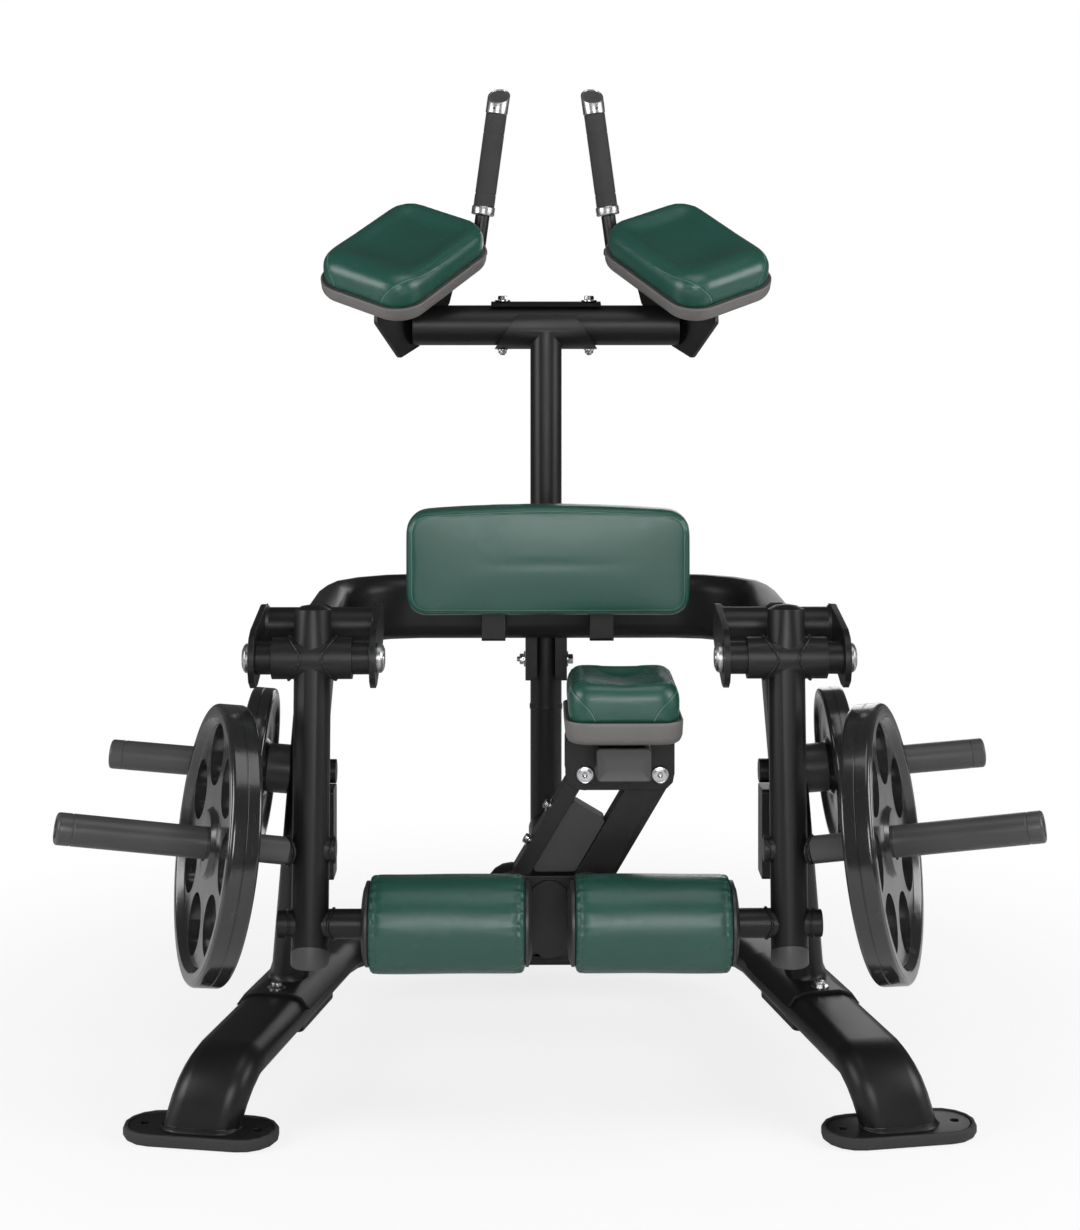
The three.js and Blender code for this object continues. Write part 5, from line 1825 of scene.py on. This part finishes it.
@dataclass
class ThighPad:
    """Upright thigh pad with a sewn edge all round its face."""

    palette: Palette
    half_x: float = 247.0
    half_z: float = 91.0
    z: float = 857.5
    front: float = 215.0
    corner: float = 35.0
    thickness: float = 68.0
    bow: float = 12.0

    def crown(self, u: float, v: float) -> float:
        """Crown of the face, fuller in the middle."""
        return 5.0 * (1 - min(u * u, 1)) * (1 - min(v * v, 1)) - 4.0

    def build(self) -> None:
        """Builds the pad and its seams."""
        frame = Matrix.Translation(place(0, self.front + self.thickness, self.z)) @ UPRIGHT
        shape = PadShape(self.half_x - 1.5, self.half_z - 1.5, self.corner, frame, self.bow, run_steps=26)
        t = self.thickness
        levels = [
            (3.5, 1.0, 0.0), (1.0, 4.0, 0.0), (0.0, 12.0, 0.0), (-0.4, t * 0.4, 0.0),
            (0.0, t * 0.7, 0.0), (1.0, t * 0.82, 0.0), (3.0, t * 0.9, 0.2), (6.5, t * 0.955, 0.5),
            (12.0, t * 0.985, 0.8), (20.0, t, 1.0), (32.0, t, 1.0), (48.0, t, 1.0), (66.0, t, 1.0),
            (84.0, t, 1.0),
        ]
        pad = Cushion(shape, levels, self.crown, 2.0, 5.5).build("thigh_leather")
        dressed(pad, "frame", self.palette.leather, ["thigh_cushion"])
        sewing = Sewing(self.palette, pad)
        ring = shape.ring(4.2, t * 0.95, 12, still)
        inside = shape.ring(8.6, t * 1.02, 12, still)
        seams = [sewing.seam(ring[::3], True, 0.9)]
        rows = [sewing.stitches(inside[::3], 0.0, True, 4.6)]
        for piece in sewing.lay("thigh", seams, rows):
            sewing.carried(piece, "frame")


@dataclass
class AnkleRollers:
    """Foam rollers in sewn leather, between domed end discs."""

    palette: Palette
    horns: Horns
    height: float = 314.5
    inner: float = -40.0
    outer: float = -288.0
    radius: float = 77.5
    bore: float = 12.8
    gap: float = 0.3
    disc: float = 67.0
    disc_width: float = 12.5
    seam_place: float = 11.4
    sides: int = 144
    folds: int = 26
    fine_folds: int = 41

    def _pad(self, start: Vector) -> Form:
        """Roller with puckered ends.

        Args:
            start: its outer end on the shaft.

        Returns:
            The form.
        """
        wide = self.inner - self.outer
        profile = [
            (self.bore, 2.0), (self.radius - 30, 0.6), (self.radius - 16, 0.0),
            (self.radius - 9.0, 0.4), (self.radius - 4.6, 2.2), (self.radius - 1.9, 5.4),
            (self.radius - 0.9, 9.5), (self.radius - 1.5, 11.4), (self.radius - 0.4, 14.0),
            (self.radius - 0.1, 24.0), (self.radius, 50.0),
        ]
        back = [(r, wide - h) for r, h in reversed(profile)]
        middle = [(self.radius, 50 + (wide - 100) * k / 6) for k in range(1, 6)]
        rings = []
        for r, h in [*profile, *middle, *back]:
            ring = []
            near = max(0.0, 1 - abs(min(h, wide - h) - 6.0) / 15.0)
            for angle in angles(self.sides):
                fold = 1.3 * math.sin(angle * self.folds + 1.3) + 0.4 * math.sin(angle * self.fine_folds)
                sag = 0.35 * math.sin(angle * 3 + h * 0.02) + 0.25 * math.sin(angle * 5 - h * 0.035)
                size = r + (near * (fold - 0.7) + sag - 0.6 if r > self.bore + 1 else 0.0)
                ring.append(start + Vector((h, size * math.cos(angle), size * math.sin(angle))) * MM)
            rings.append(ring)
        return Form().rings(rings, closed=True)

    def _disc(self, start: Vector, sign: int, through: bool) -> Form:
        """Domed end disc with a raised edge.

        Args:
            start: where it meets the roller.
            sign: its side along the shaft.
            through: whether the shaft passes.

        Returns:
            The form.
        """
        w, r = self.disc_width, self.disc
        outside = [
            (r - 1.0, 0.0), (r, 1.0), (r, w - 7.5), (r - 1.2, w - 6.4), (r - 6.0, w - 5.0),
            (r * 0.82, w - 2.6), (r * 0.66, w - 0.8), (r * 0.5, w),
        ]
        if through:
            profile = [(self.bore, 0.0), *outside, (self.bore + 12, w), (self.bore, w), (self.bore, 0.0)]
        else:
            middle = [(14.0, w), (12.5, w - 1.2), (0.0, w - 1.2)]
            profile = [(self.bore, 0.0), *outside, *middle]
            profile = [(0.0, w / 2), (self.bore, w / 2), *profile]
        return Form().turned(profile, start, Vector((sign, 0, 0)), 72)

    def build(self) -> None:
        """Builds both rollers."""
        spot = self.horns.arm_point(self.height)
        start = Vector((self.outer * MM, spot.y, spot.z))
        end = Vector(((self.inner + self.gap) * MM, spot.y, spot.z))
        pad = self._pad(start).build("left_roller_leather", 60)
        sewing = Sewing(self.palette, pad)
        seams, rows = [], []
        wide = self.inner - self.outer
        for h in (self.seam_place, wide - self.seam_place):
            ring = []
            for angle in angles(36):
                reach = Vector((h, self.radius * math.cos(angle), self.radius * math.sin(angle)))
                ring.append(start + reach * MM)
            seams.append(sewing.seam(ring, True, 0.55))
        along = range(14, int(wide) - 12, 30)
        line = [start + Vector((h, self.radius * 0.86, -self.radius * 0.5)) * MM for h in along]
        seams.append(sewing.seam(line, radius=0.7))
        rows.append(sewing.stitches(line, 3.4, pitch=4.4))
        sewn = sewing.lay("left_roller", seams, rows)
        inner = self._disc(end, 1, False).build("left_roller_inner_cap", 40)
        far = start - Vector((self.gap * MM, 0, 0))
        outer = self._disc(far, -1, True).build("left_roller_outer_cap", 40)
        for side in Side:
            body = side.node("roller")
            skin = on_side(pad, side)
            dressed(skin, body, self.palette.leather, [side.node("roller_pad")])
            for cap, node in ((inner, "roller_inner_disc"), (outer, "roller_outer_disc")):
                dressed(on_side(cap, side), body, self.palette.end_plastic, [side.node(node)])
            for piece in sewn:
                sewing.carried(on_side(piece, side), body)


# Handles


@dataclass
class Handles:
    """Handles with a ribbed grip, a collar and a slanted end cap."""

    palette: Palette
    steel: SteelWork
    base: tuple[float, float, float] = (-131.4, 690.0, 1407.0)
    tip: tuple[float, float, float] = (-88.0, 690.0, 1724.0)
    bar: float = 14.0
    grip: float = 20.5
    grip_start: float = 88.7
    grip_length: float = 180.0
    collar: float = 18.0
    collar_radius: float = 22.6
    cap_radius: float = 21.6
    cap_edge: float = 0.9
    cut: float = 36.0
    rim_width: float = 1.1
    step_width: float = 0.5
    step_depth: float = 1.2
    gap: float = 0.3
    smooth_angle: float = 35.0

    def build(self) -> None:
        """Builds both handles."""
        base, tip = place(*self.base), place(*self.tip)
        axis = (tip - base).normalized()
        length = (tip - base).length / MM
        low = self.grip_start - self.collar
        for side in Side:
            sign = -side.value
            towards = Vector((axis.x * sign, axis.y, axis.z))
            root = Vector((base.x * sign, base.y, base.z))
            plane = (root + towards * (low - self.gap) * MM, towards)
            foot = self.steel.copy(side.node("handle"), side.node("handle_foot"), plane)
            dressed(foot, "frame", self.palette.paint, [side.node("handle")])
            ring = self._collar(root, towards, low).build(side.node("handle_collar"), self.smooth_angle)
            dressed(ring, "frame", self.palette.satin)
            self._end(root, towards, length, side)
            grip = self._grip(root, towards).build(side.node("handle_rubber"), 60)
            dressed(grip, "frame", self.palette.grip, [side.node("handle_grip")])

    def _collar(self, root: Vector, axis: Vector, low: float) -> Form:
        """Clamp collar with two grooves and a set screw.

        Args:
            root: foot of the handle.
            axis: the handle's direction.
            low: distance to the collar's foot.

        Returns:
            The form.
        """
        r, high = self.collar_radius, self.grip_start - self.gap
        profile = [
            (0.0, low), (r - 2.4, low), (r - 0.6, low + 1.2), (r, low + 2.4), (r, low + 5.0),
            (r - 0.7, low + 5.6), (r - 0.7, low + 6.6), (r, low + 7.2), (r, high - 3.0),
            (r - 0.7, high - 0.8), (r - 1.6, high), (0.0, high),
        ]
        form = Form().turned(profile, root, axis, 64)
        front = Vector((0.25, -1, 0))
        front = (front - axis * front.dot(axis)).normalized()
        middle = root + axis * (low + 11.5) * MM + front * (r - 1.0) * MM
        screw = [(0, 0), (3.6, 0), (3.6, 2.0), (3.0, 2.6), (1.9, 2.6), (1.6, 1.4), (0, 1.4)]
        return form.turned(screw, middle, front, 24)

    def _grip(self, root: Vector, axis: Vector) -> Form:
        """Rubber grip with rows of fine ribs.

        Args:
            root: foot of the handle.
            axis: the handle's direction.

        Returns:
            The form.
        """
        start, end = self.grip_start, self.grip_start + self.grip_length
        outside = [(self.grip - 1.2, start), (self.grip - 0.2, start + 0.8), (self.grip, start + 2.0)]
        h = start + 3.0
        while h < end - 3.4:
            local = h - start
            if 22 < local < 25 or 37 < end - h < 40:
                outside.append((self.grip - 1.2, h))
                h += 0.8
                continue
            low = self.grip - 0.42
            outside += [(self.grip, h), (self.grip, h + 1.1), (low, h + 1.4), (low, h + 1.9)]
            h += 2.2
        outside += [(self.grip, end - 2.0), (self.grip - 0.2, end - 0.8), (self.grip - 1.2, end)]
        bore = self.bar + self.gap
        return Form().turned([(bore, start), *outside, (bore, end), (bore, start)], root, axis, 56)

    def _end(self, root: Vector, axis: Vector, length: float, side: Side) -> None:
        """Polished end cap, cut on a slant, with its satin dish and its set screw.

        Args:
            root: foot of the handle.
            axis: the handle's direction.
            length: the handle's length.
            side: the handle's side.
        """
        low = self.grip_start + self.grip_length + self.gap
        r = self.cap_radius
        profile = [
            (0.0, low - 2.0), (self.bar - 0.5, low - 2.0), (self.bar - 0.5, low), (r - 1.2, low),
            (r - 0.2, low + 0.8), (r, low + 2.0), (r, length + 8), (0.0, length + 8),
        ]
        made = Form().turned(profile, root, axis, 64).build(side.node("handle_end"), self.smooth_angle)
        slant = math.radians(self.cut)
        fall = 2 * r * math.tan(slant)
        tip = root + axis * length * MM
        front = Vector((0, -1, 0))
        across = Vector((1, 0, 0))
        rise = Vector((0, math.cos(slant), math.sin(slant)))
        normal = across.cross(rise).normalized()
        work = bmesh.new()
        work.from_mesh(made.data)
        rim = cut_off(work, tip + (front * r - axis * fall) * MM, normal)
        bevelled(work, rim, self.cap_edge, 3)
        flats = [f for f in work.faces if abs(f.normal.dot(normal)) > 0.999]
        flat = max(flats, key=lambda f: f.calc_area())
        middle = flat.calc_center_median()
        for width, depth in ((self.rim_width, 0.0), (self.step_width, -self.step_depth)):
            bmesh.ops.inset_individual(work, faces=[flat], thickness=width * MM, depth=depth * MM)
        work.to_mesh(made.data)
        work.free()
        smoothed(made.data, self.smooth_angle)
        dressed(made, "frame", self.palette.satin)
        self._dish(middle, across, rise, side)
        facing = (front + Vector((side.value * 0.25, 0, 0))).normalized()
        facing = (facing - axis * facing.dot(axis)).normalized()
        seat = root + axis * (low + 9.0) * MM + facing * (r - 0.4) * MM
        outline = [(0, 0), (2.4, 0), (2.4, 0.7), (2.0, 0.9), (1.6, 0.6), (0, 0.6)]
        screw = Form().turned(outline, seat, facing, 24).build(side.node("handle_screw"), self.smooth_angle)
        dressed(screw, "frame", self.palette.rubber)

    def _dish(self, middle: Vector, across: Vector, rise: Vector, side: Side) -> None:
        """Satin dish in the slanted face of the end cap.

        Args:
            middle: middle of the slanted face.
            across: direction across the face.
            rise: direction up the face.
            side: the handle's side.
        """
        out = across.cross(rise).normalized()
        half = self.cap_radius - 2.6
        tall = self.cap_radius / math.cos(math.radians(self.cut)) - 2.7
        rim = [(0.97, -3.2), (1.0, -1.5), (0.97, -1.1)]
        levels = rim + [(0.86, -1.5), (0.66, -2.1), (0.4, -2.6), (0.15, -2.8)]
        rings = []
        for share, depth in levels:
            ring = []
            for angle in angles(64):
                aside = across * half * share * math.cos(angle)
                ring.append(middle + (aside + rise * tall * share * math.sin(angle) + out * depth) * MM)
            rings.append(ring)
        made = Form().rings(rings).build(side.node("handle_dish"), 40)
        dressed(made, "frame", self.palette.dish)


# Bolts and welds


@dataclass(frozen=True)
class Bolt:
    """Hexagon bolt head with its washer, in millimetres."""

    across: float = 17.0
    head: float = 9.0
    washer: float = 13.5
    washer_height: float = 2.4
    stub: float = 0.0
    thread: float = 5.0
    pitch: float = 1.25

    def add(self, form: Form, seat: Vector, axis: Vector, twist: float = 0.0) -> Form:
        """Adds the bolt.

        Args:
            form: where it is added.
            seat: where its washer lies.
            axis: direction away from the seat.
            twist: turn of its head in degrees.

        Returns:
            The form.
        """
        w, t = self.washer, self.washer_height
        form.turned([(0, 0), (w - 0.5, 0), (w, 0.5), (w, t - 0.6), (w - 0.8, t), (0, t)], seat, axis, 40)
        turn = axis.normalized().to_track_quat("Z", "Y")
        flat = self.across / 2
        corner = flat / math.cos(math.pi / 6)
        base = t + 0.2
        rings = []
        levels = [
            (0.0, flat - 0.8), (0.6, corner), (self.head - 1.8, corner), (self.head - 0.5, flat),
            (self.head, flat - 1.4),
        ]
        for height, reach in levels:
            ring = []
            for angle in angles(36):
                local = (angle + math.radians(twist)) % (math.pi / 3) - math.pi / 6
                side = flat / math.cos(local)
                size = min(side, reach)
                spot = Vector((size * math.cos(angle), size * math.sin(angle), base + height)) * MM
                ring.append(seat + turn @ spot)
            rings.append(ring)
        form.rings(rings)
        if self.stub:
            top = base + self.head
            r = self.thread
            thread = [(0, top - 1), (r, top - 1)]
            h = top
            while h < top + self.stub - 1:
                thread += [(r, h), (r - 0.5, h + 0.6)]
                h += self.pitch
            thread += [(r - 0.8, top + self.stub), (0, top + self.stub)]
            form.turned(thread, seat, axis, 24)
        return form


@dataclass
class Fasteners:
    """Bolts, nuts, pins and axle caps that show."""

    palette: Palette
    rail_front: tuple[float, float] = (522.0, -100.0)
    rail_run: tuple[float, float] = (138.0, 690.0)
    saddle_places: tuple[float, float] = (190.0, 384.0)
    saddle_top: float = 138.4
    rail_foot: float = 65.4
    bracket_face: float = 39.2
    bracket_bolt: tuple[float, float] = (575.0, 636.0)
    clamp_bolts: tuple[float, float] = (82.0, 602.0)
    clamp_top: float = 1310.3
    clamp_foot: float = 1219.5
    link_foot: tuple[float, float, float] = (-62.5, 124.0, 318.0)
    link_lean: float = 30.6
    link_face: float = 20.3
    block_bolts: tuple[float, float] = (92.0, 159.0)
    axle_sunk: float = 1.6
    smooth_angle: float = 35.0

    def _rail_x(self, y: float) -> float:
        """X of the left base tube's middle at a place along it."""
        (x, front), (inward, run) = self.rail_front, self.rail_run
        return -(x - (y - front) / run * inward)

    def build(self) -> None:
        """Builds every bolt and pin."""
        for side in Side:
            self._saddle(side)
        self._column()
        self._clamp()
        self._links()
        self._pins()
        self._axles()

    def _saddle(self, side: Side) -> None:
        """Two bolts through the saddle and the rail, with nuts below.

        Args:
            side: the saddle's side.
        """
        form = Form()
        bolt, nut = Bolt(16, 8, 15.5, 2.6), Bolt(16, 8, 13, 2.2, 5.0)
        for y in self.saddle_places:
            x = self._rail_x(y) * -side.value
            bolt.add(form, place(x, y, self.saddle_top), Vector((0, 0, 1)), y)
            nut.add(form, place(x, y, self.rail_foot), Vector((0, 0, -1)), y * 2)
        made = form.build(side.node("saddle_bolts"), self.smooth_angle)
        dressed(made, "frame", self.palette.chrome)

    def _column(self) -> None:
        """Bolt through the column's bracket, with its nut."""
        form = Form()
        x, spot = self.bracket_face, self.bracket_bolt
        Bolt(18, 9, 14.5, 2.6).add(form, place(x, *spot), Vector((1, 0, 0)), 10)
        Bolt(18, 8, 14.5, 2.6, 5.0).add(form, place(-x, *spot), Vector((-1, 0, 0)), 25)
        made = form.build("column_bracket_bolt", self.smooth_angle)
        dressed(made, "frame", self.palette.chrome)

    def _clamp(self) -> None:
        """Two bolts through the crossbar's clamp."""
        form = Form()
        reach, y = self.clamp_bolts
        for x in (-reach, reach):
            Bolt(17, 8, 15, 2.6).add(form, place(x, y, self.clamp_top), Vector((0, 0, 1)), x)
            Bolt(15, 6, 10, 2.0, 3.0).add(form, place(x, y, self.clamp_foot), Vector((0, 0, -1)), x * 2)
        made = form.build("crossbar_clamp_bolts", self.smooth_angle)
        dressed(made, "frame", self.palette.chrome)

    def _links(self) -> None:
        """Two bolts that hold the bumper block to its link."""
        form = Form()
        lean = math.radians(self.link_lean)
        along = Vector((math.sin(lean), 0, math.cos(lean)))
        out = Vector((-math.cos(lean), 0, math.sin(lean)))
        for reach in self.block_bolts:
            seat = place(*self.link_foot) + along * reach * MM + out * self.link_face * MM
            Bolt(15, 7, 12, 2.2).add(form, seat, out, reach)
        made = form.build("bumper_bolts", self.smooth_angle)
        dressed(made, "left_knee_link", self.palette.chrome)

    def _pins(self) -> None:
        """Button heads and nuts of the four link pivots."""
        bodies = {
            "left_base": "frame",
            "right_base": "frame",
            "left_top": "knee_pad",
            "right_top": "knee_pad",
        }
        for name, body in bodies.items():
            node = f"{name}_pivot_bolt"
            low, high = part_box(node)
            centre = (low + high) / 2
            start = Vector((centre.x, low.y, centre.z))
            length = (high.y - low.y) / MM
            radius = (high.x - low.x) / 2 / MM
            head = radius
            profile = [
                (0.0, 3.4), (2.6, 3.4), (4.0, 2.6), (4.6, 0.9), (head - 6.0, 0.3), (head - 3.4, 1.6),
                (head - 2.6, 1.6), (head - 1.6, 1.0), (head - 0.4, 2.6), (head, 4.0), (head, 6.9),
                (8.0, 7.0), (8.0, length - 9.0), (12.8, length - 9.0), (12.8, length - 1.6),
                (11.4, length), (0.0, length),
            ]
            form = Form().turned(profile, start, Vector((0, 1, 0)), 48)
            made = form.build(f"{name}_pivot_pin", self.smooth_angle)
            dressed(made, body, self.palette.chrome, [node])

    def _axles(self) -> None:
        """Bright hex bolts and washers set in the axle caps."""
        for side in Side:
            form = Form()
            low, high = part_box(side.node("axle"))
            centre = (low + high) / 2
            for x, sign in ((low.x, -1), (high.x, 1)):
                seat = Vector((x - sign * self.axle_sunk * MM, centre.y, centre.z))
                axis = Vector((sign, 0, 0))
                rim = [(0, 0), (15.5, 0), (17, 1.4), (17, 2.4), (15.6, 3.2), (11, 3.2)]
                form.turned(rim + [(9, 2.2), (7.0, 2.2), (6.2, 3.0), (0, 3.0)], seat, axis, 48)
            made = form.build(side.node("axle_washers"), self.smooth_angle)
            dressed(made, "frame", self.palette.chrome)


def meeting_curve(
    start: Vector, axis: Vector, radius: float, main: Vector, main_axis: Vector, main_radius: float,
    steps: int = 60,
) -> list[Vector]:
    """Curve where a round branch meets a round main tube.

    Args:
        start: point on the branch's axis.
        axis: the branch's direction, away from the main tube.
        radius: the branch's radius in millimetres.
        main: point on the main tube's axis.
        main_axis: the main tube's direction.
        main_radius: its radius in millimetres.
        steps: points on the curve.

    Returns:
        The curve in metres.
    """
    axis, main_axis = axis.normalized(), main_axis.normalized()
    turn = axis.to_track_quat("Z", "Y")
    made = []
    for angle in angles(steps):
        spot = start + turn @ (Vector((math.cos(angle), math.sin(angle), 0)) * radius * MM)
        offset = spot - main
        flat = offset - main_axis * offset.dot(main_axis)
        step = axis - main_axis * axis.dot(main_axis)
        a, b = step.dot(step), 2 * flat.dot(step)
        c = flat.dot(flat) - (main_radius * MM) ** 2
        inside = b * b - 4 * a * c
        reach = (-b + math.sqrt(max(inside, 0.0))) / (2 * a)
        made.append(spot + axis * reach)
    return made


@dataclass
class Welds:
    """Weld beads where the tubes meet."""

    palette: Palette
    horns: Horns
    bead: float = 2.6
    thin_bead: float = 2.0
    # Radius about the arm's axis at which the beads lie on the branches.
    reach: float = 38.0
    hub: float = 34.0
    shaft_height: float = 314.5
    shaft_collar: float = 23.5
    shaft_cap: float = 21.5
    boss_height: float = 430.0
    boss: float = 20.0

    def _bead(self, form: Form, path: list[Vector], size: float | None = None) -> None:
        """Adds a rippled bead along a loop."""
        thick = size or self.bead
        form.tube(path, lambda i: thick * (1.0 + 0.16 * math.sin(i * 1.7)), 8, closed=True)

    def build(self) -> None:
        """Builds the beads of both sides."""
        lean = math.radians(self.horns.lean)
        down = Vector((0, -math.sin(lean), -math.cos(lean)))
        pivot = place(self.horns.arm_x, 0, self.horns.pivot_height)
        across = Vector((1, 0, 0))
        main = (pivot, down, self.reach)
        form = Form()
        for sign in (-1, 1):
            self._bead(form, meeting_curve(pivot, across * sign, self.hub, *main, 96))
        shaft = self.horns.arm_point(self.shaft_height)
        self._bead(form, meeting_curve(shaft, across, self.shaft_collar, *main, 72))
        self._bead(form, meeting_curve(shaft, -across, self.shaft_cap, *main, 72), self.thin_bead)
        root = self.horns.arm_point(self.horns.working_height)
        axis = self.horns.direction(self.horns.rise, self.horns.yaw)
        self._bead(form, meeting_curve(root, axis, self.horns.neck, *main, 72))
        boss = self.horns.arm_point(self.boss_height)
        self._bead(form, meeting_curve(boss, across, self.boss, *main, 64), self.thin_bead)
        left = form.build("left_arm_welds", 60)
        dressed(left, "left_arm", self.palette.paint)
        right = mirrored(left, "right_arm_welds")
        dressed(right, "right_arm", self.palette.paint)


# Studio


@dataclass(frozen=True)
class SoftBox:
    """Square soft light, in metres and watts, turned to the machine's middle."""

    name: str
    spot: tuple[float, float, float]
    aim: float
    size: float
    power: float

    def build(self) -> None:
        """Hangs the light."""
        data = bpy.data.lights.new(self.name, "AREA")
        data.shape = "SQUARE"
        data.size = self.size
        data.energy = self.power
        light = linked(self.name, data)
        light.location = self.spot
        towards = Vector((0, 0, self.aim)) - Vector(self.spot)
        light.rotation_euler = towards.to_track_quat("-Z", "Y").to_euler()


@dataclass
class Studio:
    """Pale floor, soft lights and the camera."""

    camera_x: float = -41.4
    camera_y: float = -3500.0
    camera_z: float = 1313.0
    yaw: float = 0.00736
    lens: float = 63.22
    shift: float = -0.2561
    surroundings: float = 0.09
    floor_radius: float = 30000.0
    floor_top: float = -0.5
    floor_glow: float = 0.8
    glow_start: float = 0.7
    glow_end: float = 1.8
    lights: tuple[SoftBox, ...] = (
        SoftBox("overhead", (0.3, -0.9, 3.3), 0.6, 1.6, 17),
        SoftBox("left_side", (-3.2, -1.3, 1.7), 0.8, 1.8, 72),
        SoftBox("right_side", (3.2, -1.0, 1.9), 0.8, 1.8, 76),
        SoftBox("front", (0.15, -3.9, 1.5), 0.6, 1.3, 62),
        SoftBox("back", (0.9, 3.8, 1.3), 0.7, 1.6, 14),
    )

    def build(self) -> None:
        """Builds the studio."""
        self._floor()
        self._world()
        for light in self.lights:
            light.build()
        self._camera()

    def _floor(self) -> None:
        """Round floor that fades to white far from the machine."""
        r = self.floor_radius
        slab = [(0, 0), (r, 0), (r, -20), (0, -20)]
        form = Form().turned(slab, Vector((0, 0, self.floor_top * MM)), Vector((0, 0, 1)), 96)
        floor = form.build("studio_floor", 30)
        s = Shader("studio_floor_white")
        radius = s.node("ShaderNodeVectorMath", {"operation": "LENGTH"}, {0: s.coordinates}, "Value")
        far = self.floor_glow + s.between(radius, self.glow_start, self.glow_end) * (1 - self.floor_glow)
        seen = s.node("ShaderNodeLightPath", output="Is Camera Ray")
        speck = s.noise(300.0, 2.0)
        plain = s.node(
            "ShaderNodeBsdfPrincipled",
            None,
            {
                "Base Color": s.mix(speck, (0.88, 0.88, 0.88), (0.91, 0.91, 0.91)),
                "Roughness": 0.85,
                "Specular IOR Level": 0.1,
            },
        )
        white = s.node("ShaderNodeEmission", None, {"Color": (1, 1, 1, 1), "Strength": 1.0})
        both = s.node("ShaderNodeMixShader", None, {0: far * seen, 1: plain, 2: white})
        output = s.tree.nodes.new("ShaderNodeOutputMaterial")
        s.tree.links.new(both.socket, output.inputs["Surface"])
        floor.data.materials.append(s.material)

    def _world(self) -> None:
        """Soft grey surroundings with a white backdrop."""
        world = bpy.data.worlds.new("studio")
        world.use_nodes = True
        tree = world.node_tree
        tree.nodes.clear()
        path = tree.nodes.new("ShaderNodeLightPath")
        mix = tree.nodes.new("ShaderNodeMixShader")
        output = tree.nodes.new("ShaderNodeOutputWorld")
        tree.links.new(path.outputs["Is Camera Ray"], mix.inputs[0])
        for slot, strength in ((1, self.surroundings), (2, 1.0)):
            shade = tree.nodes.new("ShaderNodeBackground")
            shade.inputs["Color"].default_value = (1, 1, 1, 1)
            shade.inputs["Strength"].default_value = strength
            tree.links.new(shade.outputs[0], mix.inputs[slot])
        tree.links.new(mix.outputs[0], output.inputs["Surface"])
        bpy.context.scene.world = world

    def _camera(self) -> None:
        """Camera level with the elbow pads, a little left of the middle."""
        data = bpy.data.cameras.new("camera")
        data.lens = self.lens
        data.sensor_width = 36.0
        data.shift_y = self.shift
        data.clip_end = 100.0
        camera = linked("camera", data)
        camera.location = place(self.camera_x, self.camera_y, self.camera_z)
        camera.rotation_euler = (math.radians(90), 0, -self.yaw)
        bpy.context.scene.camera = camera
        bpy.context.scene.view_settings.view_transform = "Standard"


def finishes(palette: Palette, nodes: Iterable[str]) -> dict[str, tuple[Slot, bpy.types.Material]]:
    """Finish of each node that keeps its own form.

    Args:
        palette: the materials.
        nodes: every node.

    Returns:
        Slot and material by node.
    """
    rebuilt = (
        "working_horn", "working_plate", "storage_horn", "storage_plate", "roller_pad",
        "roller_inner_disc", "roller_outer_disc", "elbow_tray", "elbow_cushion", "knee_tray",
        "knee_cushion", "thigh_cushion", "handle", "handle_grip", "pivot_bolt", "arm_end_plug",
    )
    chosen = {}
    for node in nodes:
        if node.endswith(rebuilt):
            continue
        if node.endswith("foot_pad"):
            chosen[node] = (Slot.RUBBER, palette.rubber)
        elif node == "bumper_block":
            chosen[node] = (Slot.RUBBER, palette.block)
        elif node.endswith("_axle"):
            chosen[node] = (Slot.CHROME, palette.satin)
        else:
            chosen[node] = (Slot.PAINT, palette.paint)
    return chosen


def corners(bounds: tuple[Vector, Vector]) -> list[list[float]]:
    """Two corners as plain lists."""
    return [list(bounds[0]), list(bounds[1])]


def main() -> None:
    """Builds every sub-assembly in order."""
    logging.basicConfig(level=logging.INFO, format="%(message)s")
    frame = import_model()
    nodes = frame["nodes"]
    bodies = frame["record"]["behaviour"]["bodies"]
    owner = {node: body for body, members in bodies.items() for node in members}
    palette = Palette()
    steel = SteelWork(palette, nodes)
    steel.build(owner, finishes(palette, nodes))
    LOG.info("steel work done")
    horns = Horns(palette)
    horns.build()
    ArmPlugs(palette, horns).build()
    LOG.info("horns, plates and arm ends done")
    ElbowPads(palette).build()
    KneePad(palette).build()
    ThighPad(palette).build()
    AnkleRollers(palette, horns).build()
    LOG.info("upholstery done")
    Handles(palette, steel).build()
    Fasteners(palette).build()
    Welds(palette, horns).build()
    Studio().build()


if __name__ == "__main__":
    main()
